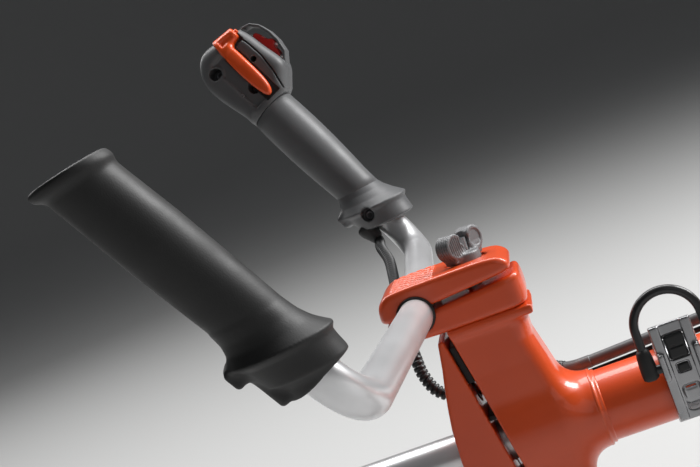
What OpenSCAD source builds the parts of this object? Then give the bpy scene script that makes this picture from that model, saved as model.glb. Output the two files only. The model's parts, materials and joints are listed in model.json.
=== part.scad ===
// Petrol string trimmer with a bicycle-style handlebar.
// Millimetres. +X runs to the rear (engine), +Y to the machine's right, +Z up.
// The origin is the centre of the engine's foot, on the floor.

/* [Layout] */
// Height of the shaft axis above the floor
tube_h = 150; // [145:1:190]
// From the engine's foot forward to the handle neck
neck_back = 560; // [460:5:700]
// From the engine's foot forward to the gearbox centre
shaft_reach = 1600; // [1300:10:1900]
// Lean of the cutting head's axis towards the front
gear_tilt = 30; // [26:1:32]

/* [Shaft] */
// Outer diameter of the bright shaft tube
tube_d = 28; // [24:1:32]
// Wall of the bright shaft tube
tube_wall = 1.6; // [1:0.1:2.5]
// Outer diameter of the painted rear sleeve
sleeve_d = 47; // [40:1:56]
// Wall of the painted rear sleeve
sleeve_wall = 2.5; // [1.5:0.1:4]
// Diameter of the drive shaft
drive_d = 8; // [7:0.5:9]
// Number of bushings that hold the drive shaft
bushing_count = 5; // [3:1:7]

/* [Handlebar] */
// Diameter of the handlebar tube
bar_d = 22; // [19:1:25]
// Wall of the handlebar tube
bar_wall = 2; // [1.5:0.1:3]
// Half the distance between the two bar corners
bar_half = 271; // [230:1:330]
// Height of the bar's middle above the shaft axis
bar_up = 100.7; // [99:0.1:104]
// Lean of the handles towards the front
arm_lean = 27.6; // [15:0.1:35]
// Outward lean of the handles
arm_splay = 11.3; // [5:0.1:18]
// Centre-line radius of the bar's corner bends
bend_r = 38; // [32:1:40]
// Diameter of the left rubber grip
grip_d = 35; // [32:1:38]
// Diameter of the throttle grip
throttle_grip_d = 39.5; // [36:0.5:42]
// Length of each grip
grip_len = 104; // [90:1:112]
// Diameter of the corrugated cable loom
loom_d = 7.4; // [6:0.2:8.4]

/* [Handle clamp] */
// Width of the neck casting
neck_w = 57; // [52:1:62]
// Width of the two bar clamps
clamp_w = 60; // [54:1:66]
// Opening between the front clamp and the neck
av_gap = 5; // [3:0.5:6]
// Diameter of the clamp bolt
bolt_d = 10; // [8:1:12]

/* [Harness ring] */
// Wire diameter of the harness ring
ring_wire = 6; // [5:0.5:6.5]
// Distance between the ring's legs, centre to centre
ring_w = 42; // [39:1:45]
// Height of the ring above its pivot
ring_up = 47; // [40:0.1:52]

/* [Cutting end] */
// Radius of the guard
guard_r = 185; // [170:1:200]
// Diameter of the trimmer head
head_d = 124; // [110:1:130]
// Reach of each cutting line from the head's axis
line_reach = 150; // [120:1:152]
// Diameter of the output shaft
output_d = 12; // [10:1:13]

/* [Engine] */
// Radius of the clutch and starter housings
engine_r = 49; // [47:1:52]
// Diameter of the piston
piston_d = 41; // [38:1:44]
// Half the piston's stroke
crank_throw = 14; // [12:0.5:15]
// Length of the fuel tank, which is also the foot
tank_len = 124; // [110:1:140]
// Width of the fuel tank
tank_w = 124; // [110:1:140]
// Height of the engine cover above the shaft axis
cover_up = 168; // [160:1:180]

/* [Hidden] */
$fn = 48;

orange = [0.90, 0.24, 0.06];
silver = [0.84, 0.85, 0.86];
steel = [0.62, 0.63, 0.65];
grey = [0.50, 0.51, 0.52];
black = [0.07, 0.07, 0.08];
rubber = [0.05, 0.05, 0.05];
red = [0.82, 0.10, 0.08];
white = [0.88, 0.88, 0.84];

// Clearances
run = 0.05;         // shaft in its bore, radial
seat = 0.05;        // fixed pieces that nest, radial
nip = 3.4;          // opening between the bar clamps

// Shaft
neck_x = -neck_back;
gear_x = -shaft_reach;
tube_r = tube_d / 2;
sleeve_r = sleeve_d / 2;
drive_r = drive_d / 2;
socket_x0 = 30;     // tube socket in the gearbox, from the gear centre
socket_x1 = 78;
clutch_x0 = -165;   // front of the clutch housing
cone_x0 = -130;
cone_x1 = -105;
fan_x1 = -40;       // clutch housing meets the crankcase
case_x1 = 42;       // crankcase meets the starter
starter_x1 = 104;
tube_stop_x = -140; // the bright tube ends inside the clutch housing

// Neck, in the handle frame
gap_x0 = -23.4;     // rear wall of the gap at the shaft axis
gap_tilt = 9.5;     // lean of the gap
neck_top = 84;
cast_wall = 2;
cast_r = sleeve_r + cast_wall;
cast_x1 = 36;
block_z = -44;      // underside of the clamp blocks
clamp_lo = 84.1;
bar_x = -51.5;
bar_r = bar_d / 2;
bolt_x = -12;
bolt_r = bolt_d / 2;
clamp_top = 119.6;
knob_z = 124;        // top of the knob's hub
knob_turn = 54;     // how far the knob's wings are turned
wing_x = 10.5;      // the wings, from the bolt's axis
wing_r = 8.5;
wing_t = 11.5;
wing_z = 131;

// Handlebar corner and frames
corner = [-63.6, bar_half, bar_up + 4.8];
bar_start = [bar_x, clamp_w / 2 + 5, bar_up];
bar_dir = unit(corner - bar_start);
arm_dir = [-cos(arm_splay) * sin(arm_lean), sin(arm_splay), cos(arm_splay) * cos(arm_lean)];
bend_t = bend_reach(bar_dir, arm_dir, bend_r);
ease_r = 150;       // centre-line radius of the slight bends beside the clamp
ease_t = bend_reach([0, 1, 0], bar_dir, ease_r);
lap = 0.8;          // straight runs reach this far into a bend
bead = 0.1;         // a bend is this much fatter than the straight runs
collar_t0 = 36;     // along the arm from the corner
collar_t1 = 64;
grip_t0 = collar_t1;
grip_t1 = grip_t0 + grip_len;
bar_t1 = grip_t1 - 6;
shell_y = 18;       // half depth of the throttle housing

// Cable
conduit_d = 8;
conduit_y = sleeve_r + 1.5;
conduit_z = sleeve_r + 1;
conduit_rise = 2.4;
loom_route = [
    [-92, 271.8, 123], [-91, 266, 120.5], [-89.5, 248, 117.5], [-84, 222, 109], [-82, 190, 98],
    [-80.5, 160, 91], [-78, 120, 86], [-75, 85, 81], [-72.5, 62, 74], [-70.5, 48, 62],
    [-69, 41, 50], [-64, 38, 38], [-54, 37.5, 31], [-38, 37.5, 29], [-22, 37.5, 33],
    [-10, 37.5, 38], [-1, 37.5, 39], [5.5, 37.5, 34.5], [11, 37.5, 29.5], [18, 36.6, 26.2],
    [24.5, 32.9, 24.6], [28, 28.8, 24.4], [31.1, 25.5, 24.6]];

// Harness ring
ring_x = 93.8;      // centre, in the handle frame
ring_pivot = [ring_x, -(sleeve_r + 7.5), 18];
lug_t = 4;
bracket_w = 27;

// Gearbox, lengths from the gear centre
pinion_teeth = 12;
crown_teeth = 18;
shaft_angle = 90 + gear_tilt;
gear_dist = 18;
gear_face = 6;
pinion_cone = atan(sin(shaft_angle) / (crown_teeth / pinion_teeth + cos(shaft_angle)));
crown_cone = shaft_angle - pinion_cone;
tooth_add = 5.4;    // degrees of cone
tooth_ded = 7;
gear_room = gear_dist + 4.5;
barrel_r = 27;
bearing_lo = 14;
output_r = output_d / 2;
mouth_z = -45;      // lower face of the gearbox

// Head and guard, below the gear centre
head_z0 = -54;
head_z1 = -96;
head_r = head_d / 2;
head_wall = 3;
line_z = -79;
line_r = 1.2;
guard_z = -27;
guard_t = 3;
skirt_z = -(tube_h - guard_r * sin(gear_tilt)) / cos(gear_tilt);
guard_span = 62;    // each side of straight back
guard_bolts = [-90, 90, 150, 210];
spool_core = 22;
pocket_r = 20;

// Engine
crank_r = 7.5;
pin_r = 6;
rod_len = 58;
piston_r = piston_d / 2;
piston_z0 = 62;
piston_z1 = 98;
gudgeon_z = crank_throw + rod_len;
deck_z = 40;
case_y = 36;
case_z = -50;
barrel_out = piston_r + 5.5;
exhaust_z = 70;
intake_z = 62;
cover_y = 50;
cover_t = 3;
tank_h = tube_h + case_z;
cap_x = -35;
cap_z = 68;
cap_r = 20;
pulley_r = 30;
rope_r = 1.75;
rope_z = pulley_r + rope_r;
rope_x = 67;
grip_y = -56;

function unit(v) = v / norm(v);
function bend_reach(d0, d1, bend) = bend * tan(acos(d0 * d1) / 2);
function gap_at(z) = gap_x0 - z * tan(gap_tilt);

// Placement frames
module at_axis() { translate([0, 0, tube_h]) children(); }
module at_neck() { translate([neck_x, 0, tube_h]) children(); }
module at_right() { at_neck() translate(corner) rotate([-arm_splay, -arm_lean, 0]) children(); }
module at_left() { at_neck() mirror([0, 1, 0]) translate(corner) rotate([-arm_splay, -arm_lean, 0]) children(); }
module at_gear() { translate([gear_x, 0, tube_h]) children(); }
module at_output() { at_gear() rotate([0, gear_tilt, 0]) children(); }

// Shape helpers
module cyl_x(r, x0, x1) { translate([x0, 0, 0]) rotate([0, 90, 0]) cylinder(r = r, h = x1 - x0); }
module cyl_y(r, y0, y1) { translate([0, y0, 0]) rotate([-90, 0, 0]) cylinder(r = r, h = y1 - y0); }
module cyl_z(r, z0, z1) { translate([0, 0, z0]) cylinder(r = r, h = z1 - z0); }
module cone_x(r0, r1, x0, x1) { translate([x0, 0, 0]) rotate([0, 90, 0]) cylinder(r1 = r0, r2 = r1, h = x1 - x0); }
module block(a, b) { translate(a) cube(b - a); }
module side_slab(outline, y0, y1) {
    translate([0, y1, 0]) rotate([90, 0, 0]) linear_extrude(y1 - y0) polygon(outline);
}
module round_rect(x0, y0, x1, y1, r) {
    translate([x0 + r, y0]) square([x1 - x0 - 2 * r, y1 - y0]);
    translate([x0, y0 + r]) square([x1 - x0, y1 - y0 - 2 * r]);
    for (x = [x0 + r, x1 - r]) for (y = [y0 + r, y1 - r]) translate([x, y]) circle(r);
}
module round_post(x0, y0, x1, y1, r, z0, z1) {
    translate([0, 0, z0]) linear_extrude(z1 - z0) round_rect(x0, y0, x1, y1, r);
}
module rod(p, q, r) {
    d = q - p;
    translate(p) rotate([0, acos(d[2] / norm(d)), atan2(d[1], d[0])]) cylinder(r = r, h = norm(d));
}

// A tube swept along points, with frames that don't twist
function tangent(p, i) = unit(p[min(i + 1, len(p) - 1)] - p[max(i - 1, 0)]);
function side_of(p, i, ref) = unit(ref - tangent(p, i) * (ref * tangent(p, i)));
function sides(p, i, ref) = i == len(p) ? [] :
    let (n = side_of(p, i, ref)) concat([n], sides(p, i + 1, n));
function spline(p, i, t) =
    let (a = p[max(i - 1, 0)], b = p[i], c = p[i + 1], d = p[min(i + 2, len(p) - 1)])
    0.5 * (2 * b + (c - a) * t + (2 * a - 5 * b + 4 * c - d) * t * t + (3 * b - a - 3 * c + d) * t * t * t);
function smooth(p, k) = concat([for (i = [0 : len(p) - 2]) for (j = [0 : k - 1]) spline(p, i, j / k)], [p[len(p) - 1]]);
module swept(path, r, n, ref) {
    ns = sides(path, 0, ref);
    m = len(path);
    pts = [for (i = [0 : m - 1]) for (k = [0 : n - 1])
        path[i] + r * (ns[i] * cos(360 * k / n) + cross(tangent(path, i), ns[i]) * sin(360 * k / n))];
    walls = [for (i = [0 : m - 2]) for (k = [0 : n - 1])
        let (a = i * n + k, b = i * n + (k + 1) % n) each [[a, a + n, b], [b, a + n, b + n]]];
    cap0 = [for (k = [0 : n - 1]) k];
    cap1 = [for (k = [n - 1 : -1 : 0]) (m - 1) * n + k];
    polyhedron(points = pts, faces = concat(walls, [cap0, cap1]));
}
module coil(r, wire, z0, z1, turns) {
    steps = 12 * turns;
    path = [for (i = [0 : steps]) [r * cos(30 * i), r * sin(30 * i), z0 + (z1 - z0) * i / steps]];
    swept(path, wire / 2, 8, [0, 0, 1]);
}

// A straight bevel gear about +Z with its cone's tip at the origin
function on_cone(g, a, d) = d * [sin(g) * cos(a), sin(g) * sin(a), cos(g)];
module bevel(teeth, cone, back) {
    cut = [-0.31, -0.12, 0.12, 0.31];
    rise = [-tooth_ded, tooth_add, tooth_add, -tooth_ded];
    n = 4 * teeth;
    outer = [for (i = [0 : teeth - 1]) for (k = [0 : 3])
        on_cone(cone + rise[k], (i + cut[k]) * 360 / teeth, gear_dist)];
    inner = [for (p = outer) p * (gear_dist - gear_face) / gear_dist];
    low = inner[0][2];
    high = outer[0][2] + back;
    ends = [[0, 0, low], [0, 0, high]];
    faces = [for (i = [0 : n - 1]) let (j = (i + 1) % n)
        each [[i, j, n + i], [j, n + j, n + i], [i, 2 * n + 1, j], [n + i, n + j, 2 * n]]];
    polyhedron(points = concat(outer, inner, ends), faces = faces);
}

// ---------- Handle support ----------
module neck_outline_x() {
    polygon([[-45, block_z], [-45, neck_top], [16, neck_top], [18.6, 81.4], [16.4, 77.9],
        [13.1, 72.9], [12.8, 63.3], [16.7, 46.7], [19.2, 35], [25, cast_r - 2.5], [25, -cast_r + 4], [20, block_z]]);
}
module handle_support() color(orange) at_neck() difference() {
    union() {
        intersection() {
            translate([0, neck_w / 2, 0]) rotate([90, 0, 0]) linear_extrude(neck_w) neck_outline_x();
            round_post(-60, -neck_w / 2, 30, neck_w / 2, 10, block_z, neck_top);
        }
        cyl_x(cast_r, gap_x0 - 8, cast_x1);
    }
    side_slab([[gap_at(100), 100], [gap_at(-60), -60], [-90, -60], [-90, 100]], -50, 50);
    cyl_x(tube_r + 2, -60, cast_x1 + 1);
    cyl_x(sleeve_r + seat, -4, cast_x1 + 1);
    translate([bolt_x, 0, 0]) cyl_z(bolt_r + seat, 60, neck_top + 1);
    block([-60, -bolt_r - 3.6, 57.9], [bolt_x + bolt_r + 4, bolt_r + 3.6, 66.1]);
    translate([0, 0, 38]) cyl_x(8, -50, -14);
    for (y = [-20, 20]) translate([0, y, -34]) cyl_x(3.1, -50, 0);
}

module front_clamp() color(orange) at_neck() difference() {
    side_slab([[gap_at(79) - av_gap, 79], [-45.2, 79.3], [-48.6, 61.4], [-51.4, 50], [-54.3, 35.7], [-56.4, 22.9],
        [-57.9, 1.4], [-57.4, -14], [-55, -30], [-51, block_z], [gap_at(block_z) - av_gap, block_z]], -27, 27);
    cyl_x(tube_r + seat, -70, 0);
    block([-70, -1, -45], [0, 1, -10]);
    translate([0, 0, 38]) cyl_x(8, -gap_tilt - 33, -20);
    translate([-44, 0, -32]) cyl_y(2.6, -40, 40);
}

module av_dampers() color(rubber) at_neck() {
    inset = 0.05;
    for (z = [[47, 73], [19.5, 23], [-42, -24]])
        side_slab([[gap_at(z[0]) - inset, z[0]], [gap_at(z[1]) - inset, z[1]],
            [gap_at(z[1]) - av_gap + inset, z[1]], [gap_at(z[0]) - av_gap + inset, z[0]]], -22, 22);
}

module av_spring() color(steel) at_neck() translate([0, 0, 38]) rotate([0, -90, 0]) coil(6.2, 2, 15.2, 40, 6);

// ---------- Bar clamp ----------
module clamp_bores() {
    translate([bar_x, 0, bar_up]) cyl_y(bar_r + run, -60, 60);
    translate([bolt_x, 0, 0]) cyl_z(bolt_r + run, 60, 160);
}
module lower_clamp() color(orange) at_neck() difference() {
    intersection() {
        side_slab([[-57, clamp_lo], [16, clamp_lo], [18, 86], [19.7, 93], [19, 103], [17, 106],
            [12, bar_up + 3.4], [-40, bar_up - 0.5], [-60, bar_up - 2.4], [-74, bar_up - 0.9]], -clamp_w / 2, clamp_w / 2);
        round_post(-76, -clamp_w / 2, 20, clamp_w / 2, 13, 80, 110);
    }
    clamp_bores();
}
module upper_clamp() color(orange) at_neck() difference() {
    intersection() {
        side_slab([[-40, bar_up - 0.5 + nip], [12, bar_up + 3.4 + nip], [15.4, 110.7], [13, 115], [4, clamp_top],
            [-60, clamp_top], [-66, 117.5], [-72, 112], [-75.5, 104.5], [-73, bar_up + 2.6], [-60, bar_up + 1]],
            -clamp_w / 2, clamp_w / 2);
        round_post(-76, -clamp_w / 2, 17, clamp_w / 2, 13, 96, 124);
    }
    clamp_bores();
    translate([bolt_x, 0, 0]) cyl_z(14, clamp_top - 2, clamp_top + 5);
}
module clamp_bolt() color(steel) at_neck() translate([bolt_x, 0, 0]) {
    cyl_z(bolt_r, 62, wing_z + 3);
    translate([0, 0, 58]) cylinder(r = bolt_r + 3.5, h = 8, $fn = 6);
}
module clamp_knob() color(grey) at_neck() translate([bolt_x, 0, 0]) difference() {
    union() {
        cyl_z(11, clamp_top - 1.6, knob_z);
        rotate([0, 0, knob_turn]) {
            for (s = [-1, 1]) translate([s * wing_x, 0, wing_z]) rotate([90, 0, 0])
                translate([0, 0, -wing_t / 2]) cylinder(r = wing_r, h = wing_t);
            block([-wing_x - wing_r + 2, -wing_t / 2, knob_z - 4], [wing_x + wing_r - 2, wing_t / 2, wing_z - 1]);
        }
    }
    cyl_z(bolt_r + run, 110, 150);
}

// ---------- Handlebar ----------
module elbow(at, d0, d1, bend, r) {
    m = unit(d1 - d0 * (d1 * d0));
    c = at - d0 * bend_reach(d0, d1, bend) + m * bend;
    n = cross(d0, m);
    multmatrix([[-m[0], d0[0], n[0], c[0]], [-m[1], d0[1], n[1], c[1]], [-m[2], d0[2], n[2], c[2]], [0, 0, 0, 1]])
        rotate_extrude(angle = acos(d0 * d1)) translate([bend, 0]) circle(r + bead);
}
module bar_half_path(r, over) {
    elbow(bar_start, [0, 1, 0], bar_dir, ease_r, r);
    rod(bar_start + bar_dir * (ease_t - lap), corner - bar_dir * (bend_t - lap), r);
    elbow(corner, bar_dir, arm_dir, bend_r, r);
    rod(corner + arm_dir * (bend_t - lap), corner + arm_dir * (bar_t1 + over), r);
}
module bar_path(r, over) {
    middle = bar_start[1] - ease_t + lap;
    translate([bar_x, 0, bar_up]) cyl_y(r, -middle, middle);
    bar_half_path(r, over);
    mirror([0, 1, 0]) bar_half_path(r, over);
}
module handlebar() color(silver) at_neck() difference() {
    bar_path(bar_r, 0);
    bar_path(bar_r - bar_wall, 1);
}

module turned(outline) { rotate_extrude() polygon(outline); }
module left_grip() color(rubber) at_left() {
    g = grip_d / 2;
    b = bar_r + seat;
    difference() {
        union() {
            turned([[0, 30], [21, 30], [24, 33], [24, 44], [25, 47], [21, 56], [g, grip_t0 + 4], [g, grip_t1],
                [g + 1.5, grip_t1 + 1], [g + 1.5, grip_t1 + 6], [0, grip_t1 + 8]]);
            block([-32, -7, 42], [-18, 7, 56]);
            translate([-22, 0, 0]) cyl_z(7, 28, 48);
        }
        cyl_z(b, 20, bar_t1 + 0.1);
    }
}
module right_grip() color(grey) at_right() difference() {
    g = throttle_grip_d / 2;
    turned([[0, grip_t0 + 0.1], [g - 1.5, grip_t0 + 0.1], [g - 0.8, grip_t0 + 14], [g, grip_t0 + 40], [g, grip_t1], [0, grip_t1]]);
    cyl_z(bar_r + seat, 20, bar_t1 + 0.1);
}
module right_collar() color(grey) at_right() difference() {
    union() {
        turned([[0, collar_t0], [22, collar_t0], [24.5, collar_t0 + 3], [24.5, collar_t0 + 12], [25.5, collar_t0 + 14],
            [21, collar_t0 + 22], [throttle_grip_d / 2 - 1.5, collar_t1], [0, collar_t1]]);
        block([-31, -6, collar_t0 + 11], [-20, 6, collar_t0 + 20]);
        translate([-17, -5, 0]) cyl_z(6.5, collar_t0 - 5, collar_t0 + 4);
    }
    cyl_z(bar_r + seat, 20, 90);
    translate([-5, 0, collar_t0 + 8]) cyl_y(5, -40, -17);
}

// ---------- Throttle housing, in the right handle's frame: x to the rear, y outwards, z along the arm ----------
head_outline = [[-18, 168.2], [-19.5, 182], [-22, 198], [-22.5, 212], [-20.5, 224], [-15, 234], [-7, 239.5],
    [3, 239.5], [12, 236], [22, 233], [30, 231.5], [33, 222], [35, 205], [37.5, 190], [36, 184], [28, 175], [20, 168.2]];
trigger_pivot = [0, -15, 231];
lockout_pivot = [0, 16, 215];
switch_pivot = [31.5, 0, 206.5];
screw_spots = [[-8.5, 219.5], [25, 201], [-9, 182]];
module head_slab(y0, y1) { side_slab(head_outline, y0, y1); }
module screw_at(p) { translate([p[0], 0, p[1]]) children(); }
module guard_hoop() {
    side_slab([[26, 230], [34, 232.5], [40, 230.5], [45.5, 224], [47.8, 214], [47.6, 202], [45, 192], [37, 183], [35, 186.5],
        [42.4, 193.5], [44.8, 203], [45, 213], [43, 222.5], [38.5, 227.5], [33.5, 229.5], [28, 228]], 0, 7);
}
module stop_room() {
    block([27, -6.5, 189.8], [60, 6.5, 222.8]);
    translate(switch_pivot) cyl_y(1.5 + run, -9, 9);
}
module throttle_inner() color(grey) at_right() difference() {
    union() {
        head_slab(-shell_y, -0.02);
        mirror([0, 1, 0]) guard_hoop();
    }
    translate([0, -0.1, 0]) block([-14, -5, 182], [26, 1, 222]);
    block([5, -30, 171], [19.5, -8, 222.5]);
    block([7.6, -30, 222], [28.4, -6, 245]);
    translate(trigger_pivot) cyl_x(2 + run, 3, 31);
    stop_room();
    for (p = screw_spots) screw_at(p) {
        cyl_y(5, -30, -10);
        cyl_y(1.7, -20, 5);
    }
}
module throttle_outer() color(grey) at_right() difference() {
    union() {
        head_slab(0.02, shell_y);
        guard_hoop();
    }
    block([-14, -1, 182], [26, 5, 222]);
    block([-6.4, 8, 172], [8.4, 30, 222]);
    translate(lockout_pivot) cyl_x(1.5 + run, -10, 12);
    stop_room();
    for (p = screw_spots) screw_at(p) cyl_y(1.7, -1, 14);
}
module throttle_trigger() color(orange) at_right() difference() {
    union() {
        translate(trigger_pivot) cyl_x(2, 4, 30);
        translate(trigger_pivot) cyl_x(7.5, 8, 28);
        side_cut = [[-22.5, 231], [-25.5, 222], [-25.5, 186], [-23, 175], [-19.5, 173.5], [-18.6, 180], [-18.4, 224], [-13, 231]];
        translate([6.5, 0, 0]) rotate([90, 0, 90]) linear_extrude(11.5) polygon(side_cut);
    }
    block([-5, -40, 221.4], [7.9, -5, 245]);
}
module throttle_lockout() color(black) at_right() {
    translate(lockout_pivot) cyl_x(1.5, -9, 11);
    translate(lockout_pivot) cyl_x(5, -6, 8);
    translate([-6, 0, 0]) rotate([90, 0, 90]) linear_extrude(14)
        polygon([[20.5, 215], [23, 206], [23, 182], [20, 177], [18.4, 177], [18.4, 206], [14, 215]]);
}
module stop_switch() color(red) at_right() {
    translate(switch_pivot) cyl_y(1.5, -8.5, 8.5);
    side_slab([[29, 201], [34, 193], [38, 191.2], [40.5, 195], [40.5, 203], [43.8, 204.5], [43.8, 207], [40.5, 210],
        [38.5, 220], [35.5, 221.5], [29, 212]], -6, 6);
}
module handle_screws() color(steel) at_right() {
    for (p = screw_spots) screw_at(p) {
        cyl_y(3.3, -12.4, -10.02);
        cyl_y(1.6, -10.1, 12);
    }
    translate([-5, 0, collar_t0 + 8]) cyl_y(3, -19.4, -17.02);
}

// ---------- Cable and harness ----------
module cable_loom() color(black) at_neck() swept(smooth(loom_route, 3), loom_d / 2, 8, [1, 0, 0]);

conduit_x0 = 33.6;
conduit_len = (neck_back - conduit_x0 + cone_x1 + 3) / cos(conduit_rise);
module conduit_line() {
    at_neck() translate([conduit_x0, conduit_y, conduit_z]) rotate([0, -conduit_rise, 0]) children();
}
module cable_conduit() color(grey) conduit_line() cyl_x(conduit_d / 2, 0, conduit_len);

module suspension_bracket() color(steel) at_neck() difference() {
    y1 = ring_pivot[1];
    x0 = ring_x - bracket_w / 2;
    x1 = ring_x + bracket_w / 2;
    union() {
        cyl_x(sleeve_r + 2.5, x0, x1);
        block([x0, y1 + 2, -18], [x1, y1 + 4.6, 44]);
        for (x = [x0, x1 - lug_t]) block([x, y1 - 5.5, 9], [x + lug_t, -sleeve_r / 2, 27]);
    }
    cyl_x(sleeve_r + seat, x0 - 1, x1 + 1);
    translate([0, ring_pivot[1], ring_pivot[2]]) cyl_x(ring_wire / 2 + run, x0 - 1, x1 + 1);
    block([x0 + lug_t + 4, y1 - 9, -4], [x1 - lug_t - 4, y1 + 5, 8]);
}
module suspension_ring() color(black) at_neck() translate(ring_pivot) {
    w = ring_wire / 2;
    half = ring_w / 2;
    stub = bracket_w / 2 - lug_t + 0.5;
    for (s = [-1, 1]) {
        translate([s * half, 0, 0]) cyl_z(w, 0, ring_up - half);
        translate([s * half, 0, 0]) sphere(w);
        translate([s < 0 ? -half : stub, 0, 0]) cyl_x(w, 0, half - stub);
    }
    translate([0, 0, ring_up - half]) rotate([90, 0, 0]) rotate_extrude(angle = 180) translate([half, 0]) circle(w);
}

// ---------- Shaft ----------
module shaft_tube() color(silver) at_axis() difference() {
    cyl_x(tube_r, gear_x + socket_x0, tube_stop_x);
    cyl_x(tube_r - tube_wall, gear_x + socket_x0 - 1, tube_stop_x + 1);
}
module rear_tube() color(orange) at_axis() difference() {
    cyl_x(sleeve_r, neck_x - 4, tube_stop_x + 8);
    cyl_x(sleeve_r - sleeve_wall, neck_x - 5, tube_stop_x + 9);
}
module drive_shaft() color(steel) at_axis() cyl_x(drive_r, gear_x + 24, -100);
module shaft_bushings() color(black) at_axis() {
    first = gear_x + socket_x1 + 60;
    last = tube_stop_x - 60;
    for (i = [0 : bushing_count - 1]) {
        x = first + (last - first) * i / (bushing_count - 1);
        difference() {
            cyl_x(tube_r - tube_wall - seat, x - 12, x + 12);
            cyl_x(drive_r + run, x - 13, x + 13);
        }
    }
}

// ---------- Gearbox ----------
module gearbox_housing() color(orange) difference() {
    union() {
        at_gear() cyl_x(tube_r + 6, 0, socket_x1);
        at_output() cyl_z(barrel_r, mouth_z, 20);
        at_output() cyl_z(barrel_r - 5, 20, 25);
        at_gear() translate([0, 0, -tube_r - 13]) block([42, -8, 0], [68, 8, 12]);
    }
    at_gear() {
        cyl_x(tube_r + seat, socket_x0, socket_x1 + 1);
        cyl_x(10.5 + seat, 18, 31);
        cyl_x(16, 2, 19);
        block([socket_x0 + 4, -1, -60], [socket_x1 + 1, 1, -5]);
        translate([55, 0, -tube_r - 7]) cyl_y(2.6, -20, 20);
    }
    at_output() {
        cyl_z(gear_room, -18, 8);
        cyl_z(bearing_lo + seat, -34.1, -10);
        cyl_z(bearing_lo + 4, mouth_z - 1, -34);
        cyl_z(output_r + 2, -35, 0);
    }
}
module pinion() color(steel) at_gear() rotate([0, 90, 0]) difference() {
    union() {
        bevel(pinion_teeth, pinion_cone, 1);
        cyl_z(6, gear_dist * cos(pinion_cone) + 1, 30);
    }
    cyl_z(drive_r + seat, 23.9, 40);
}
module crown_gear() color(steel) at_output() rotate([180, 0, 0]) difference() {
    union() {
        rotate([0, 0, 180 / crown_teeth]) bevel(crown_teeth, crown_cone, 3);
        cyl_z(9, gear_dist * cos(crown_cone + tooth_add) + 5, 15);
    }
    cyl_z(output_r + seat, -5, 40);
}
module output_shaft() color(steel) at_output() {
    cyl_z(output_r, head_z0 + 0.1, -3.5);
    cyl_z(5, -72, head_z0 + 0.2);
    cyl_z(24, head_z0 + 0.1, -48);
}
module bearing_z(ro, ri, z0, z1) {
    difference() {
        cyl_z(ro, z0, z1);
        cyl_z(ri, z0 - 1, z1 + 1);
    }
}
module gearbox_bearings() color(silver) {
    at_output() bearing_z(bearing_lo, output_r + run, -25, -17);
    at_output() bearing_z(bearing_lo, output_r + run, -33, -25.2);
    at_gear() rotate([0, 90, 0]) bearing_z(10.5, 6 + run, 19.5, 29);
}

// ---------- Cutting head ----------
module head_housing() color(black) at_output() difference() {
    union() {
        cyl_z(head_r, head_z1, head_z0 - 6);
        translate([0, 0, head_z0 - 6]) cylinder(r1 = head_r, r2 = head_r - 14, h = 6);
    }
    cyl_z(head_r - head_wall, head_z1 - 1, head_z0 - 8);
    cyl_z(5 + seat, head_z0 - 10, head_z0 + 1);
    for (s = [0, 180]) rotate([0, 0, s]) translate([0, 0, line_z]) cyl_y(3.5, 30, 80);
    for (a = [0 : 30 : 330]) rotate([0, 0, a + 15]) translate([head_r + 2, 0, 0]) cyl_z(5, head_z1 - 1, -66);
}
module head_spool() color(orange) at_output() difference() {
    flange = head_r - head_wall - 0.5;
    union() {
        cyl_z(flange - 5, -66, head_z0 - 8.1);
        cyl_z(spool_core + 6, head_z1 + 4, -65);
        cyl_z(flange, head_z1, -84);
    }
    cyl_z(pocket_r, -97, -76);
    cyl_z(34, -97, -88);
    cyl_z(5 + seat, -80, -60);
}
module bump_button() color(black) at_output() {
    cyl_z(17, -98.2, -96);
    cyl_z(32, -108, -98);
    translate([0, 0, -116]) cylinder(r1 = 20, r2 = 32, h = 8);
}
module head_spring() color(steel) at_output() coil(13, 1.8, -94.9, -77.1, 4);
module cutting_lines() color(orange) at_output() {
    for (s = [0, 180]) rotate([0, 0, s]) translate([0, 0, line_z]) cyl_y(line_r, head_r - head_wall - 8, line_reach);
}

// ---------- Guard ----------
module sector(r, a) { polygon([[0, 0], for (i = [-a : a / 10 : a]) 1.6 * r * [cos(i), sin(i)]]); }
module guard() color(black) at_output() difference() {
    union() {
        intersection() {
            union() {
                cyl_z(guard_r, guard_z, guard_z + guard_t);
                difference() {
                    cyl_z(guard_r, skirt_z, guard_z + guard_t);
                    cyl_z(guard_r - guard_t, skirt_z - 1, guard_z);
                }
            }
            translate([0, 0, skirt_z]) linear_extrude(80) sector(guard_r, guard_span);
        }
        cyl_z(barrel_r + 14, guard_z - 6, guard_z + guard_t);
        for (a = [-guard_span + 2, 0, guard_span - 2]) rotate([0, 0, a])
            block([barrel_r + 10, -1.5, guard_z - 12], [guard_r - 1, 1.5, guard_z + 1]);
    }
    cyl_z(barrel_r + seat, skirt_z - 1, 10);
    for (a = guard_bolts) rotate([0, 0, a]) translate([barrel_r + 8, 0, 0]) cyl_z(2.6, -60, 0);
}
module guard_screws() color(steel) at_output() for (a = guard_bolts) rotate([0, 0, a])
    translate([barrel_r + 8, 0, 0]) {
        cyl_z(2.5, guard_z - 6, guard_z + guard_t + 0.1);
        cyl_z(5, guard_z + guard_t + 0.05, guard_z + guard_t + 4);
    }
module line_cutter() color(steel) at_output() rotate([0, 0, -guard_span + 8]) {
    block([guard_r - guard_t - 2.9, -12, skirt_z - 12], [guard_r - guard_t - 0.9, 12, skirt_z + 18]);
}

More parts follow.
